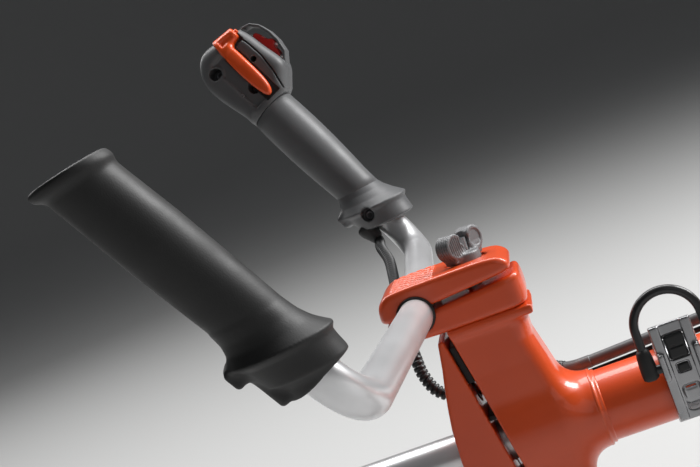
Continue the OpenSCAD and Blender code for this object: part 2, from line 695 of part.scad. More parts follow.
// ---------- Clutch and engine ----------
module clutch_housing() color(black) at_axis() difference() {
    union() {
        cyl_x(sleeve_r + 4.5, clutch_x0, cone_x0);
        cone_x(sleeve_r + 4.5, engine_r, cone_x0, cone_x1);
        cyl_x(engine_r, cone_x1, fan_x1);
        intersection() {
            translate([0, 0, -tube_h]) conduit_line() cyl_x(conduit_d / 2 + 3, 0, conduit_len + 6);
            block([cone_x1 - 12, -80, -80], [fan_x1, 80, 80]);
        }
    }
    cyl_x(sleeve_r + seat, clutch_x0 - 1, tube_stop_x + 8.1);
    cyl_x(tube_r + seat, clutch_x0, tube_stop_x + 0.1);
    cyl_x(10 + run, tube_stop_x, cone_x1 + 3);
    cyl_x(39, cone_x1 + 2, -70);
    cyl_x(45, -72, fan_x1 + 1);
    translate([0, 0, -tube_h]) conduit_line() cyl_x(conduit_d / 2 + seat, 0, conduit_len + 0.1);
}
module clutch_drum() color(steel) at_axis() difference() {
    union() {
        cyl_x(10, -128, -98);
        cyl_x(36.5, -102, -75);
    }
    cyl_x(34.5, -99, -74);
    cyl_x(drive_r + seat, -130, -99.9);
}
module clutch_shoes() color(grey) at_axis() {
    difference() {
        cyl_x(33.5, -94, -78);
        cyl_x(22, -95, -77);
        for (a = [0, 90]) rotate([a, 0, 0]) block([-95, -2, -40], [-77, 2, 40]);
    }
    difference() {
        cyl_x(20, -92, -78);
        cyl_x(crank_r + seat, -95, -77);
    }
    for (a = [45, 135]) rotate([a, 0, 0]) for (s = [-1, 1]) block([-90, -3, s > 0 ? 19.8 : -22.2], [-80, 3, s > 0 ? 22.2 : -19.8]);
}
module crankcase() color(grey) at_axis() difference() {
    union() {
        rotate([90, 0, 90]) translate([0, 0, fan_x1]) linear_extrude(case_x1 - fan_x1)
            round_rect(-case_y, case_z, case_y, deck_z, 8);
        cyl_x(case_y + 6, fan_x1, fan_x1 + 6);
        cyl_x(case_y + 6, case_x1 - 6, case_x1);
    }
    cyl_x(crank_r + run, -60, 60);
    cyl_x(crank_throw + 17, -13, 13);
    cyl_z(piston_r + 0.15, 10, deck_z + 5);
}
module crankshaft() color(steel) at_axis() {
    cyl_x(crank_r, -94, -5);
    cyl_x(crank_r, 5, 60);
    for (x = [-11, 5]) cyl_x(crank_throw + 14, x, x + 6);
    translate([0, 0, crank_throw]) cyl_x(pin_r, -5.5, 5.5);
    cyl_x(13, case_x1 + 4, 58);
}
module flywheel() color(grey) at_axis() difference() {
    union() {
        cyl_x(38, -60, -52);
        cyl_x(14, -66, -44);
        for (a = [0 : 24 : 336]) rotate([a, 0, 0]) block([-66, -1, 15], [-44, 1, 42]);
    }
    cyl_x(crank_r + seat, -70, -40);
}
module piston() color(silver) at_axis() difference() {
    cyl_z(piston_r, piston_z0, piston_z1);
    cyl_z(piston_r - 3, piston_z0 - 1, piston_z1 - 6);
    translate([0, 0, gudgeon_z]) cyl_x(4.5 + seat, -30, 30);
    for (z = [85, 90]) translate([0, 0, z]) difference() {
        cyl_z(piston_r + 1, 0, 1.6);
        cyl_z(piston_r - 1.2, -1, 3);
    }
}
module connecting_rod() color(steel) at_axis() {
    difference() {
        union() {
            translate([0, 0, crank_throw]) cyl_x(pin_r + 4, -4, 4);
            translate([0, 0, gudgeon_z]) cyl_x(8, -4, 4);
            block([-3, -4.5, crank_throw + pin_r + 2], [3, 4.5, gudgeon_z - 5]);
        }
        translate([0, 0, crank_throw]) cyl_x(pin_r + run, -6, 6);
        translate([0, 0, gudgeon_z]) cyl_x(4.5 + seat, -6, 6);
    }
    translate([0, 0, gudgeon_z]) cyl_x(4.45, -piston_r + 4, piston_r - 4);
}
module cylinder_fins() {
    for (i = [0 : 7]) round_post(-34, -40, 34, 40, 8, 46 + i * 7.5, 48.4 + i * 7.5);
}
module cylinder_body() {
    cyl_z(barrel_out, deck_z, 112);
    round_post(-30, -32, 30, 32, 6, deck_z, 45);
    cylinder_fins();
    translate([0, 0, exhaust_z]) cyl_y(10, 0, cover_y + 1);
    translate([0, 0, intake_z]) cyl_y(10, -cover_y - 1, 0);
}
module cylinder_node() color(silver) at_axis() difference() {
    cylinder_body();
    cyl_z(piston_r + run, deck_z - 1, piston_z1 + 2);
    cyl_z(6 + seat, 90, 130);
    translate([0, 0, exhaust_z]) cyl_y(6.5, 10, 60);
    translate([0, 0, intake_z]) cyl_y(6.5, -60, -10);
}
module spark_plug() color(white) at_axis() {
    cyl_z(6, 103, 112.05);
    translate([0, 0, 112]) cylinder(r = 9, h = 7, $fn = 6);
    cyl_z(5, 118, 136);
    cyl_z(3, 135, 142);
}
module engine_cover() color(orange) at_axis() difference() {
    x0 = fan_x1;
    x1 = case_x1;
    intersection() {
        round_post(x0, -cover_y, x1, cover_y, 12, deck_z + 3, cover_up);
        side_slab([[x0, 0], [x1, 0], [x1, cover_up - 30], [x1 - 22, cover_up], [x0 + 30, cover_up], [x0, cover_up - 20]],
            -cover_y, cover_y);
    }
    intersection() {
        round_post(x0 + cover_t, -cover_y + cover_t, x1 - cover_t, cover_y - cover_t, 9, deck_z, cover_up - cover_t);
        side_slab([[x0, 0], [x1, 0], [x1, cover_up - 36], [x1 - 24, cover_up - cover_t], [x0 + 32, cover_up - cover_t],
            [x0, cover_up - 26]], -cover_y, cover_y);
    }
    cyl_x(engine_r + 0.3, x0 - 1, x1 + 1);
    translate([0, 0, exhaust_z]) cyl_y(11, 40, 60);
    translate([0, 0, intake_z]) cyl_y(11, -60, -40);
    for (i = [-3 : 3]) block([i * 9 - 2, -60, 104], [i * 9 + 2, 60, 128]);
}
module muffler() color(steel) at_axis() difference() {
    y0 = cover_y + 1;
    union() {
        round_post(-30, y0, 32, y0 + 40, 8, 48, 112);
        translate([18, 0, 100]) cyl_y(6, y0 + 38, y0 + 44);
    }
    round_post(-28, y0 + 2, 30, y0 + 38, 6, 50, 110);
    translate([18, 0, 100]) cyl_y(4.5, y0 + 30, y0 + 50);
    translate([0, 0, exhaust_z]) cyl_y(6.5, y0 - 2, y0 + 10);
}
carb_y0 = -cover_y - 1;
carb_y1 = carb_y0 - 26;
filter_y1 = carb_y1 - 41;
module carburettor() color(steel) at_axis() difference() {
    union() {
        block([-18, carb_y1, intake_z - 16], [18, carb_y0, intake_z + 18]);
        translate([0, 0, intake_z]) cyl_y(14, carb_y1 - 6, carb_y1 + 1);
        translate([0, carb_y0 - 13, 0]) cyl_z(10, intake_z - 22, intake_z - 15);
    }
    translate([0, 0, intake_z]) cyl_y(8, carb_y1 - 10, carb_y0 + 5);
}
choke_spot = [38, carb_y1 - 22, 62];
module air_filter_cover() color(black) at_axis() difference() {
    translate([0, carb_y1 - 0.05, 0]) rotate([90, 0, 0]) linear_extrude(41) round_rect(-36, 32, 38, 106, 14);
    translate([0, carb_y1 + 1, 0]) rotate([90, 0, 0]) linear_extrude(39) round_rect(-33.5, 34.5, 35.5, 103.5, 11.5);
    translate([0, choke_spot[1], choke_spot[2]]) cyl_x(3 + run, 30, 50);
    for (i = [-2 : 2]) block([i * 9 - 2, filter_y1 - 1, 40], [i * 9 + 2, filter_y1 + 5, 62]);
}
module choke_lever() color(red) at_axis() translate(choke_spot) {
    cyl_x(3, -7, 3);
    cyl_x(8, 0.4, 5);
    block([0.6, -4, 0], [4.6, 4, 26]);
    block([0.6, -4, 22], [10, 4, 26]);
}

module fuel_tank() color(white) difference() {
    x = tank_len / 2;
    y = tank_w / 2;
    union() {
        round_post(-x, -y, x, y, 18, 0, tank_h);
        translate([cap_x, 0, cap_z]) cyl_y(cap_r - 4, -y - 8, -y + 8);
    }
    round_post(-x + 3, -y + 3, x - 3, y - 3, 15, 3, tank_h - 3);
    translate([cap_x, 0, cap_z]) cyl_y(cap_r - 7, -y - 9, -y + 10);
}
module fuel_cap() color(black) translate([cap_x, 0, cap_z]) difference() {
    y = -tank_w / 2;
    union() {
        cyl_y(cap_r, y - 18, y - 0.4);
        rotate([0, 30, 0]) block([-cap_r + 3, y - 24, -3], [cap_r - 3, y - 17, 3]);
    }
    cyl_y(cap_r - 4 + run, y - 8.1, y + 1);
    for (a = [0 : 30 : 330]) rotate([0, a, 0]) translate([cap_r + 1.5, 0, 0]) cyl_y(3, y - 20, y + 1);
}

module starter_housing() color(black) at_axis() difference() {
    union() {
        cyl_x(engine_r, case_x1, starter_x1 - 6);
        cone_x(engine_r, engine_r - 6, starter_x1 - 6, starter_x1);
        block([rope_x - 8, grip_y + 0.1, rope_z - 8], [rope_x + 8, -25, rope_z + 8]);
    }
    difference() {
        cyl_x(41, case_x1 - 1, starter_x1 - 8);
        cyl_x(5, 61.5, starter_x1);
    }
    translate([rope_x, 0, rope_z]) cyl_y(3, grip_y - 1, 0);
    for (a = [20 : 20 : 340]) rotate([a, 0, 0]) block([starter_x1 - 10, -2, 18], [starter_x1 + 1, 2, 36]);
}
module starter_pulley() color(steel) at_axis() difference() {
    union() {
        cyl_x(pulley_r, rope_x - 5, rope_x + 5);
        cyl_x(pulley_r + 4, rope_x - 5, rope_x - 3.5);
        cyl_x(pulley_r + 4, rope_x + 3.5, rope_x + 5);
    }
    cyl_x(5 + run, rope_x - 7, rope_x + 7);
}
module starter_grip() color(black) at_axis() translate([rope_x, grip_y, rope_z]) difference() {
    union() {
        block([-8, -22, -26], [8, -10, 26]);
        for (s = [-26, 26]) translate([0, 0, s]) cyl_y(8, -22, -10);
        block([-7, -10.1, -9], [7, 0, 9]);
    }
    cyl_y(rope_r + 0.1, -23, 1);
}
module starter_rope() color(white) at_axis() translate([rope_x, 0, rope_z]) cyl_y(rope_r, grip_y - 21, -2);

handle_support();
front_clamp();
av_dampers();
av_spring();
lower_clamp();
upper_clamp();
clamp_bolt();
clamp_knob();
handlebar();
left_grip();
right_grip();
right_collar();
throttle_inner();
throttle_outer();
throttle_trigger();
throttle_lockout();
stop_switch();
handle_screws();
cable_loom();
cable_conduit();
suspension_bracket();
suspension_ring();
shaft_tube();
rear_tube();
drive_shaft();
shaft_bushings();
gearbox_housing();
pinion();
crown_gear();
output_shaft();
gearbox_bearings();
head_housing();
head_spool();
bump_button();
head_spring();
cutting_lines();
guard();
guard_screws();
line_cutter();
clutch_housing();
clutch_drum();
clutch_shoes();
crankcase();
crankshaft();
flywheel();
piston();
connecting_rod();
cylinder_node();  // cylinder
spark_plug();
engine_cover();
muffler();
carburettor();
air_filter_cover();
choke_lever();
fuel_tank();
fuel_cap();
starter_housing();
starter_pulley();
starter_grip();
starter_rope();
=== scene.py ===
"""Looks for the petrol string trimmer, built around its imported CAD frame.

Metres in the row's frame: +X to the rear, +Y to the machine's right, +Z up.
"""

import functools
import json
import math

import bmesh
import bpy
import numpy as np
from mathutils import Matrix, Vector
from mathutils.bvhtree import BVHTree

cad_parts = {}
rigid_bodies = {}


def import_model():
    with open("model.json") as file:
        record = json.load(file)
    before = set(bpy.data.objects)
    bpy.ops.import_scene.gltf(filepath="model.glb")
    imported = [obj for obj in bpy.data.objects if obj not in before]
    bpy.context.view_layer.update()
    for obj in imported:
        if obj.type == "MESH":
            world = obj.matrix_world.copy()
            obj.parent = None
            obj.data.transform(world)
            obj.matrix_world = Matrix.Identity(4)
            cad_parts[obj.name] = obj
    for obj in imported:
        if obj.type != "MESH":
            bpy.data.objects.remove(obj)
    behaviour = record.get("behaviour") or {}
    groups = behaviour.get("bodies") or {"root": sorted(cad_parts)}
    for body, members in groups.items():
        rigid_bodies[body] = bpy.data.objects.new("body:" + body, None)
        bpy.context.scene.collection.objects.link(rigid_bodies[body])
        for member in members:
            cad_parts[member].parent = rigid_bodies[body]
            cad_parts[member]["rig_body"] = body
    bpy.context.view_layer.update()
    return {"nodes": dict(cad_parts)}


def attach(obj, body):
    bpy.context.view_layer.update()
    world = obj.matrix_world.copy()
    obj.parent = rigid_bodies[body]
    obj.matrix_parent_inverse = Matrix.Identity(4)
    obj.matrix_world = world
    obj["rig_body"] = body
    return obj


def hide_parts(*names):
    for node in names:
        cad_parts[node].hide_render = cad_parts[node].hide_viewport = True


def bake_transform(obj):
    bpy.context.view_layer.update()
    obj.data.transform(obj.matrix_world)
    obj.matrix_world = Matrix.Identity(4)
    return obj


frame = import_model()

MM = 0.001
SHAFT_Z = 150                            # height of the shaft's axis above the floor, in millimetres
NECK = Vector((-0.560, 0, 0.150))        # origin of the handle's frame
SPLAY, LEAN = math.radians(11.3), math.radians(27.6)
CORNER = (-63.6, 271, 105.5)             # the bar's right corner in the handle's frame, in millimetres
BAR_X, BAR_Z, BAR_R = -51.5, 100.7, 11   # the bar's axis in the clamp, and its radius
BOLT_X = -12                             # the clamp bolt's axis
GAP_FOOT, GAP_SLOPE = -23.4, math.radians(9.5)   # the neck's wall at the rubber-mounted gap


def neck(x, y, z):
    """A point given in millimetres in the handle's frame."""
    return NECK + Vector((x, y, z)) * MM


def arm(side):
    """The frame of a handle arm: x to the rear, y outwards, z along the arm. side is 1 right, -1 left."""
    m = Matrix.Translation(neck(*CORNER))
    m = m @ Matrix.Rotation(-LEAN, 4, "Y") @ Matrix.Rotation(-SPLAY, 4, "X")
    return m if side > 0 else Matrix.Scale(-1, 4, (0, 1, 0)) @ m


RIGHT, LEFT = arm(1), arm(-1)
NECK_M = Matrix.Translation(NECK)


# ---------- Camera, stage and light ----------
def make_camera():
    yaw, pitch, roll = (math.radians(a) for a in (-7.65, -5.47, -21.0))
    look = Vector((math.sin(yaw) * math.cos(pitch), math.cos(yaw) * math.cos(pitch), math.sin(pitch)))
    across = look.cross(Vector((0, 0, 1))).normalized()
    above = across.cross(look)
    right = across * math.cos(roll) + above * math.sin(roll)
    up = above * math.cos(roll) - across * math.sin(roll)
    data = bpy.data.cameras.new("camera")
    data.sensor_width = 36
    data.lens = 82.39
    data.clip_end = 60
    camera = bpy.data.objects.new("camera", data)
    m = Matrix((right, up, -look)).transposed().to_4x4()
    m.translation = Vector((-0.49882, -1.01799, 0.40961))
    camera.matrix_world = m
    bpy.context.scene.collection.objects.link(camera)
    bpy.context.scene.camera = camera


def make_stage():
    """A pale floor that curves up all round into a backdrop."""
    profile = [(0.0, 0.0), (1.5, 0.0), (4.0, 0.0), (9.0, 0.0)]
    for i in range(1, 13):
        a = math.radians(90 * i / 12)
        profile.append((10.0 + 5.0 * math.sin(a), 5.0 * (1 - math.cos(a))))
    profile.append((15.0, 9.0))
    bm = bmesh.new()
    rings = []
    for r, z in profile:
        if r == 0:
            rings.append([bm.verts.new((0, 0, z))])
        else:
            rings.append([bm.verts.new((r * math.cos(math.tau * k / 96), r * math.sin(math.tau * k / 96), z))
                          for k in range(96)])
    for k in range(96):
        bm.faces.new((rings[0][0], rings[1][k], rings[1][(k + 1) % 96]))
    for a, b in zip(rings[1:], rings[2:]):
        for k in range(96):
            bm.faces.new((a[k], b[k], b[(k + 1) % 96], a[(k + 1) % 96]))
    mesh = bpy.data.meshes.new("floor")
    bm.to_mesh(mesh)
    bm.free()
    mesh.shade_smooth()
    floor = bpy.data.objects.new("floor", mesh)
    floor.location = (-0.75, 0, -0.0005)
    bpy.context.scene.collection.objects.link(floor)
    mat = bpy.data.materials.new("floor")
    mat.use_nodes = True
    shader = mat.node_tree.nodes["Principled BSDF"]
    shader.inputs["Base Color"].default_value = (0.46, 0.46, 0.455, 1)
    shader.inputs["Roughness"].default_value = 0.75
    mesh.materials.append(mat)


def area_light(name, spot, target, size, power):
    """A soft white lamp at a spot, turned to its target."""
    data = bpy.data.lights.new(name, "AREA")
    data.shape = "RECTANGLE"
    data.size, data.size_y = size
    data.energy = power
    lamp = bpy.data.objects.new(name, data)
    lamp.location = spot
    lamp.rotation_euler = (Vector(target) - Vector(spot)).to_track_quat("-Z", "Y").to_euler()
    bpy.context.scene.collection.objects.link(lamp)


def make_light():
    world = bpy.data.worlds.new("world")
    world.use_nodes = True
    world.node_tree.nodes["Background"].inputs["Color"].default_value = (0.9, 0.92, 0.95, 1)
    world.node_tree.nodes["Background"].inputs["Strength"].default_value = 0.11
    bpy.context.scene.world = world
    middle = (-0.58, 0, 0.3)
    area_light("key", (1.25, 0.6, 1.5), middle, (0.9, 1.2), 66)
    area_light("top", (-0.55, 0.75, 2.0), (-0.55, 0, 0.2), (2.2, 0.8), 44)
    area_light("fill", (0.6, -2.4, 1.1), middle, (1.6, 1.6), 4)
    area_light("rim", (-1.9, 1.7, 1.5), middle, (0.7, 1.0), 12)
    bpy.context.scene.view_settings.view_transform = "Standard"


# ---------- Materials ----------
def finish_of(name, colour, other, rough, metal=0.0, grain=900, bump=0.1, depth=0.05, mottle=14, vary=0.06,
              coat=0.0, coat_rough=0.08, worn=None, through=0.0, sheen=0.0):
    """A procedural finish: two near colours mottled together, fine grain in the surface, and a changing gloss.

    grain and mottle are noise scales per metre, depth is the grain's height in millimetres, and worn is the
    colour that shows on sharp edges.
    """
    mat = bpy.data.materials.new(name)
    mat.use_nodes = True
    tree = mat.node_tree
    shader = tree.nodes["Principled BSDF"]
    new, link = tree.nodes.new, tree.links.new
    shader.inputs["Metallic"].default_value = metal
    shader.inputs["Coat Weight"].default_value = coat
    shader.inputs["Coat Roughness"].default_value = coat_rough
    shader.inputs["Transmission Weight"].default_value = through
    shader.inputs["Sheen Weight"].default_value = sheen
    coords = new("ShaderNodeTexCoord")
    broad = new("ShaderNodeTexNoise")
    broad.inputs["Scale"].default_value = mottle
    broad.inputs["Detail"].default_value = 5
    broad.inputs["Roughness"].default_value = 0.6
    link(coords.outputs["Object"], broad.inputs["Vector"])
    ramp = new("ShaderNodeValToRGB")
    ramp.color_ramp.elements[0].position = 0.35
    ramp.color_ramp.elements[1].position = 0.68
    ramp.color_ramp.elements[0].color = (*colour, 1)
    ramp.color_ramp.elements[1].color = (*other, 1)
    link(broad.outputs["Fac"], ramp.inputs["Fac"])
    colour_out = ramp.outputs["Color"]
    fine = new("ShaderNodeTexNoise")
    fine.inputs["Scale"].default_value = grain
    fine.inputs["Detail"].default_value = 3
    link(coords.outputs["Object"], fine.inputs["Vector"])
    gloss = new("ShaderNodeMapRange")
    gloss.inputs["From Min"].default_value = 0.3
    gloss.inputs["From Max"].default_value = 0.7
    gloss.inputs["To Min"].default_value = rough - vary
    gloss.inputs["To Max"].default_value = rough + vary
    link(broad.outputs["Fac"], gloss.inputs["Value"])
    link(gloss.outputs["Result"], shader.inputs["Roughness"])
    bumps = new("ShaderNodeBump")
    bumps.inputs["Strength"].default_value = bump
    bumps.inputs["Distance"].default_value = depth * MM
    link(fine.outputs["Fac"], bumps.inputs["Height"])
    link(bumps.outputs["Normal"], shader.inputs["Normal"])
    if worn:
        edge = new("ShaderNodeNewGeometry")
        rub = new("ShaderNodeMapRange")
        rub.inputs["From Min"].default_value = 0.53
        rub.inputs["From Max"].default_value = 0.62
        link(edge.outputs["Pointiness"], rub.inputs["Value"])
        patchy = new("ShaderNodeMath")
        patchy.operation = "MULTIPLY"
        link(rub.outputs["Result"], patchy.inputs[0])
        link(fine.outputs["Fac"], patchy.inputs[1])
        mix = new("ShaderNodeMix")
        mix.data_type = "RGBA"
        link(patchy.outputs["Value"], mix.inputs["Factor"])
        link(colour_out, mix.inputs["A"])
        mix.inputs["B"].default_value = (*worn, 1)
        colour_out = mix.outputs["Result"]
    link(colour_out, shader.inputs["Base Color"])
    return mat


FINISH = {
    "orange_paint": dict(colour=(0.76, 0.078, 0.006), other=(0.71, 0.068, 0.005), rough=0.4, coat=0.55,
                         coat_rough=0.05, grain=420, bump=0.22, depth=0.04, vary=0.05, worn=(0.9, 0.17, 0.05)),
    "orange_plastic": dict(colour=(0.80, 0.085, 0.007), other=(0.75, 0.075, 0.006), rough=0.4, coat=0.25,
                           coat_rough=0.12, grain=1500, bump=0.3, depth=0.04, vary=0.06, worn=(0.9, 0.2, 0.06)),
    "bright_aluminium": dict(colour=(0.80, 0.80, 0.81), other=(0.76, 0.76, 0.77), rough=0.33, metal=0.75,
                             grain=1500, bump=0.12, depth=0.02, vary=0.04),
    "cast_grey": dict(colour=(0.20, 0.20, 0.205), other=(0.155, 0.155, 0.16), rough=0.52, metal=0.35, grain=1100,
                      bump=0.5, depth=0.12, mottle=60, vary=0.08, worn=(0.36, 0.36, 0.36)),
    "steel": dict(colour=(0.40, 0.40, 0.41), other=(0.31, 0.31, 0.32), rough=0.3, metal=1.0, grain=1600,
                  bump=0.15, depth=0.02, vary=0.07, worn=(0.7, 0.7, 0.71)),
    "dark_steel": dict(colour=(0.20, 0.20, 0.21), other=(0.14, 0.14, 0.15), rough=0.36, metal=0.95, grain=1200,
                       bump=0.3, depth=0.03, vary=0.1),
    "grey_plastic": dict(colour=(0.105, 0.107, 0.11), other=(0.085, 0.087, 0.09), rough=0.46, grain=1500,
                         bump=0.6, depth=0.1, mottle=30, vary=0.05, worn=(0.19, 0.19, 0.19)),
    "black_plastic": dict(colour=(0.010, 0.010, 0.011), other=(0.007, 0.007, 0.008), rough=0.38, grain=1700,
                          bump=0.4, depth=0.07, mottle=30, vary=0.06, worn=(0.03, 0.03, 0.03)),
    "black_coating": dict(colour=(0.008, 0.008, 0.009), other=(0.012, 0.012, 0.013), rough=0.34, coat=0.2,
                          grain=500, bump=0.35, depth=0.08, vary=0.06),
    "black_rubber": dict(colour=(0.009, 0.009, 0.009), other=(0.014, 0.014, 0.014), rough=0.55, grain=1300,
                         bump=0.6, depth=0.1, mottle=40, vary=0.08, worn=(0.03, 0.03, 0.03)),
    "red_plastic": dict(colour=(0.62, 0.02, 0.014), other=(0.55, 0.016, 0.012), rough=0.3, coat=0.4,
                        grain=1200, bump=0.2, depth=0.05, vary=0.05, worn=(0.75, 0.08, 0.05)),
    "white_plastic": dict(colour=(0.80, 0.79, 0.74), other=(0.72, 0.71, 0.66), rough=0.38, grain=900, bump=0.4,
                          depth=0.08, mottle=20, vary=0.06, through=0.12, worn=(0.9, 0.9, 0.88)),
    "ceramic": dict(colour=(0.85, 0.84, 0.80), other=(0.80, 0.79, 0.75), rough=0.16, coat=0.6, grain=300,
                    bump=0.1, depth=0.03, vary=0.03),
    "nylon": dict(colour=(0.85, 0.30, 0.03), other=(0.80, 0.26, 0.025), rough=0.30, through=0.1, grain=700,
                  bump=0.2, depth=0.03, vary=0.04),
    "rope": dict(colour=(0.70, 0.69, 0.64), other=(0.52, 0.51, 0.48), rough=0.75, grain=1600, bump=0.9,
                 depth=0.2, mottle=700, vary=0.05, sheen=0.3),
}
_made = {}


def finish(slot, plain=False):
    """The material of a slot. plain leaves out edge wear, for meshes that are too coarse to show it."""
    key = (slot, plain)
    if key not in _made:
        values = dict(FINISH[slot])
        if plain:
            values["worn"] = None
        _made[key] = finish_of(slot + ("_plain" if plain else ""), **values)
    return _made[key]


# ---------- Mesh helpers ----------
def place(name, mesh, body, slot, nodes=(), material=None, matrix=None):
    """A new piece of the object, riding on its body."""
    piece = bpy.data.objects.new(name, mesh)
    bpy.context.scene.collection.objects.link(piece)
    if matrix is not None:
        mesh.transform(matrix)
        if matrix.determinant() < 0:
            mesh.flip_normals()
    mesh.materials.clear()
    mesh.materials.append(material or finish(slot))
    if nodes:
        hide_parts(*nodes)
    if body:
        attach(piece, body)
    return piece


def settled(piece):
    """The piece's mesh with its modifiers applied."""
    bpy.context.view_layer.update()
    graph = bpy.context.evaluated_depsgraph_get()
    mesh = bpy.data.meshes.new_from_object(piece.evaluated_get(graph))
    piece.modifiers.clear()
    old, piece.data = piece.data, mesh
    bpy.data.meshes.remove(old)
    return piece


def softened(mesh, voxel, rounds):
    """A mesh's shape with its edges rounded, as a casting or a moulding has them."""
    bm = bmesh.new()
    bm.from_mesh(mesh)
    bmesh.ops.remove_doubles(bm, verts=bm.verts, dist=1e-6)
    work = bpy.data.meshes.new("work")
    bm.to_mesh(work)
    bm.free()
    piece = bpy.data.objects.new("work", work)
    bpy.context.scene.collection.objects.link(piece)
    remesh = piece.modifiers.new("remesh", "REMESH")
    remesh.mode = "VOXEL"
    remesh.voxel_size = voxel * MM
    remesh.use_smooth_shade = True
    smooth = piece.modifiers.new("smooth", "SMOOTH")
    smooth.factor = 0.5
    smooth.iterations = rounds
    settled(piece)
    result = piece.data
    bpy.data.objects.remove(piece)
    return result


def cast(node, slot, voxel=1.0, rounds=4):
    """The CAD node's shape with rounded edges, standing for the node."""
    mesh = softened(frame["nodes"][node].data, voxel, rounds)
    return place(node + "_body", mesh, frame["nodes"][node]["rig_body"], slot, [node])


def keep(node, slot):
    """A CAD node that is shown as it is, in its finish."""
    mesh = frame["nodes"][node].data
    mesh.materials.clear()
    mesh.materials.append(finish(slot, plain=True))


def turned(outline, sides=64):
    """A solid of revolution about +Z. outline is radius and height in millimetres, from axis to axis."""
    bm = bmesh.new()
    rings = []
    for r, z in outline:
        if r <= 1e-9:
            rings.append([bm.verts.new((0, 0, z * MM))])
        else:
            rings.append([bm.verts.new((r * MM * math.cos(math.tau * k / sides),
                                        r * MM * math.sin(math.tau * k / sides), z * MM))
                          for k in range(sides)])
    for a, b in zip(rings, rings[1:]):
        for k in range(sides):
            j = (k + 1) % sides
            if len(a) == 1:
                bm.faces.new((a[0], b[j], b[k]))
            elif len(b) == 1:
                bm.faces.new((a[k], a[j], b[0]))
            else:
                bm.faces.new((a[k], a[j], b[j], b[k]))
    bmesh.ops.recalc_face_normals(bm, faces=bm.faces)
    mesh = bpy.data.meshes.new("turned")
    bm.to_mesh(mesh)
    bm.free()
    mesh.shade_smooth()
    return mesh


# ---------- Shapes as distance fields, in millimetres: below 0 is inside ----------
def box_f(p, low, high, r=0.0):
    q = [np.abs(p[i] - (low[i] + high[i]) / 2) - ((high[i] - low[i]) / 2 - r) for i in range(3)]
    outside = np.sqrt(sum(np.maximum(c, 0) ** 2 for c in q))
    return outside + np.minimum(np.maximum(np.maximum(q[0], q[1]), q[2]), 0) - r


def round_f(across, along, r):
    """Two distances taken together as a shape whose edge is rounded by r."""
    a, b = across + r, along + r
    return np.sqrt(np.maximum(a, 0) ** 2 + np.maximum(b, 0) ** 2) + np.minimum(np.maximum(a, b), 0) - r


def rod_f(p, a, b, r0, r1=None, soft=0.0):
    """A cylinder or cone from point a to point b."""
    a, b = np.array(a, float), np.array(b, float)
    length = np.linalg.norm(b - a)
    u = (b - a) / length
    w = [p[i] - a[i] for i in range(3)]
    t = sum(w[i] * u[i] for i in range(3))
    rad = np.sqrt(np.maximum(sum(c * c for c in w) - t * t, 0))
    radius = r0 + ((r0 if r1 is None else r1) - r0) * np.clip(t / length, 0, 1)
    return round_f(rad - radius, np.abs(t - length / 2) - length / 2, soft)


def outline_f(u, v, points):
    """Signed distance to a closed outline."""
    best = np.full(u.shape, 1e9)
    inside = np.zeros(u.shape, bool)
    for (a0, a1), (b0, b1) in zip(points, points[1:] + points[:1]):
        e0, e1 = b0 - a0, b1 - a1
        w0, w1 = u - a0, v - a1
        t = np.clip((w0 * e0 + w1 * e1) / (e0 * e0 + e1 * e1), 0, 1)
        best = np.minimum(best, (w0 - e0 * t) ** 2 + (w1 - e1 * t) ** 2)
        if a1 != b1:
            inside ^= ((a1 > v) != (b1 > v)) & (u < e0 * (v - a1) / e1 + a0)
    return np.where(inside, -1, 1) * np.sqrt(best)


def line_f(u, v, points):
    """Distance to an open line."""
    best = np.full(u.shape, 1e9)
    for (a0, a1), (b0, b1) in zip(points, points[1:]):
        e0, e1 = b0 - a0, b1 - a1
        w0, w1 = u - a0, v - a1
        t = np.clip((w0 * e0 + w1 * e1) / (e0 * e0 + e1 * e1), 0, 1)
        best = np.minimum(best, (w0 - e0 * t) ** 2 + (w1 - e1 * t) ** 2)
    return np.sqrt(best)


def curve2(points, rounds=3):
    """An outline made smooth by cutting its corners a few times over."""
    for _ in range(rounds):
        out = []
        for (a0, a1), (b0, b1) in zip(points, points[1:] + points[:1]):
            out += [(a0 * 0.75 + b0 * 0.25, a1 * 0.75 + b1 * 0.25),
                    (a0 * 0.25 + b0 * 0.75, a1 * 0.25 + b1 * 0.75)]
        points = out
    return points


def join(a, b, k=1.0):
    """Two shapes as one, with a fillet of about k."""
    h = np.maximum(k - np.abs(a - b), 0) / k
    return np.minimum(a, b) - h * h * k / 4


def carve(a, b, k=0.8):
    """Shape a with b cut out of it."""
    return -join(-a, b, k)


def meet(a, b, k=0.8):
    """Where both shapes are."""
    return -join(-a, -b, k)


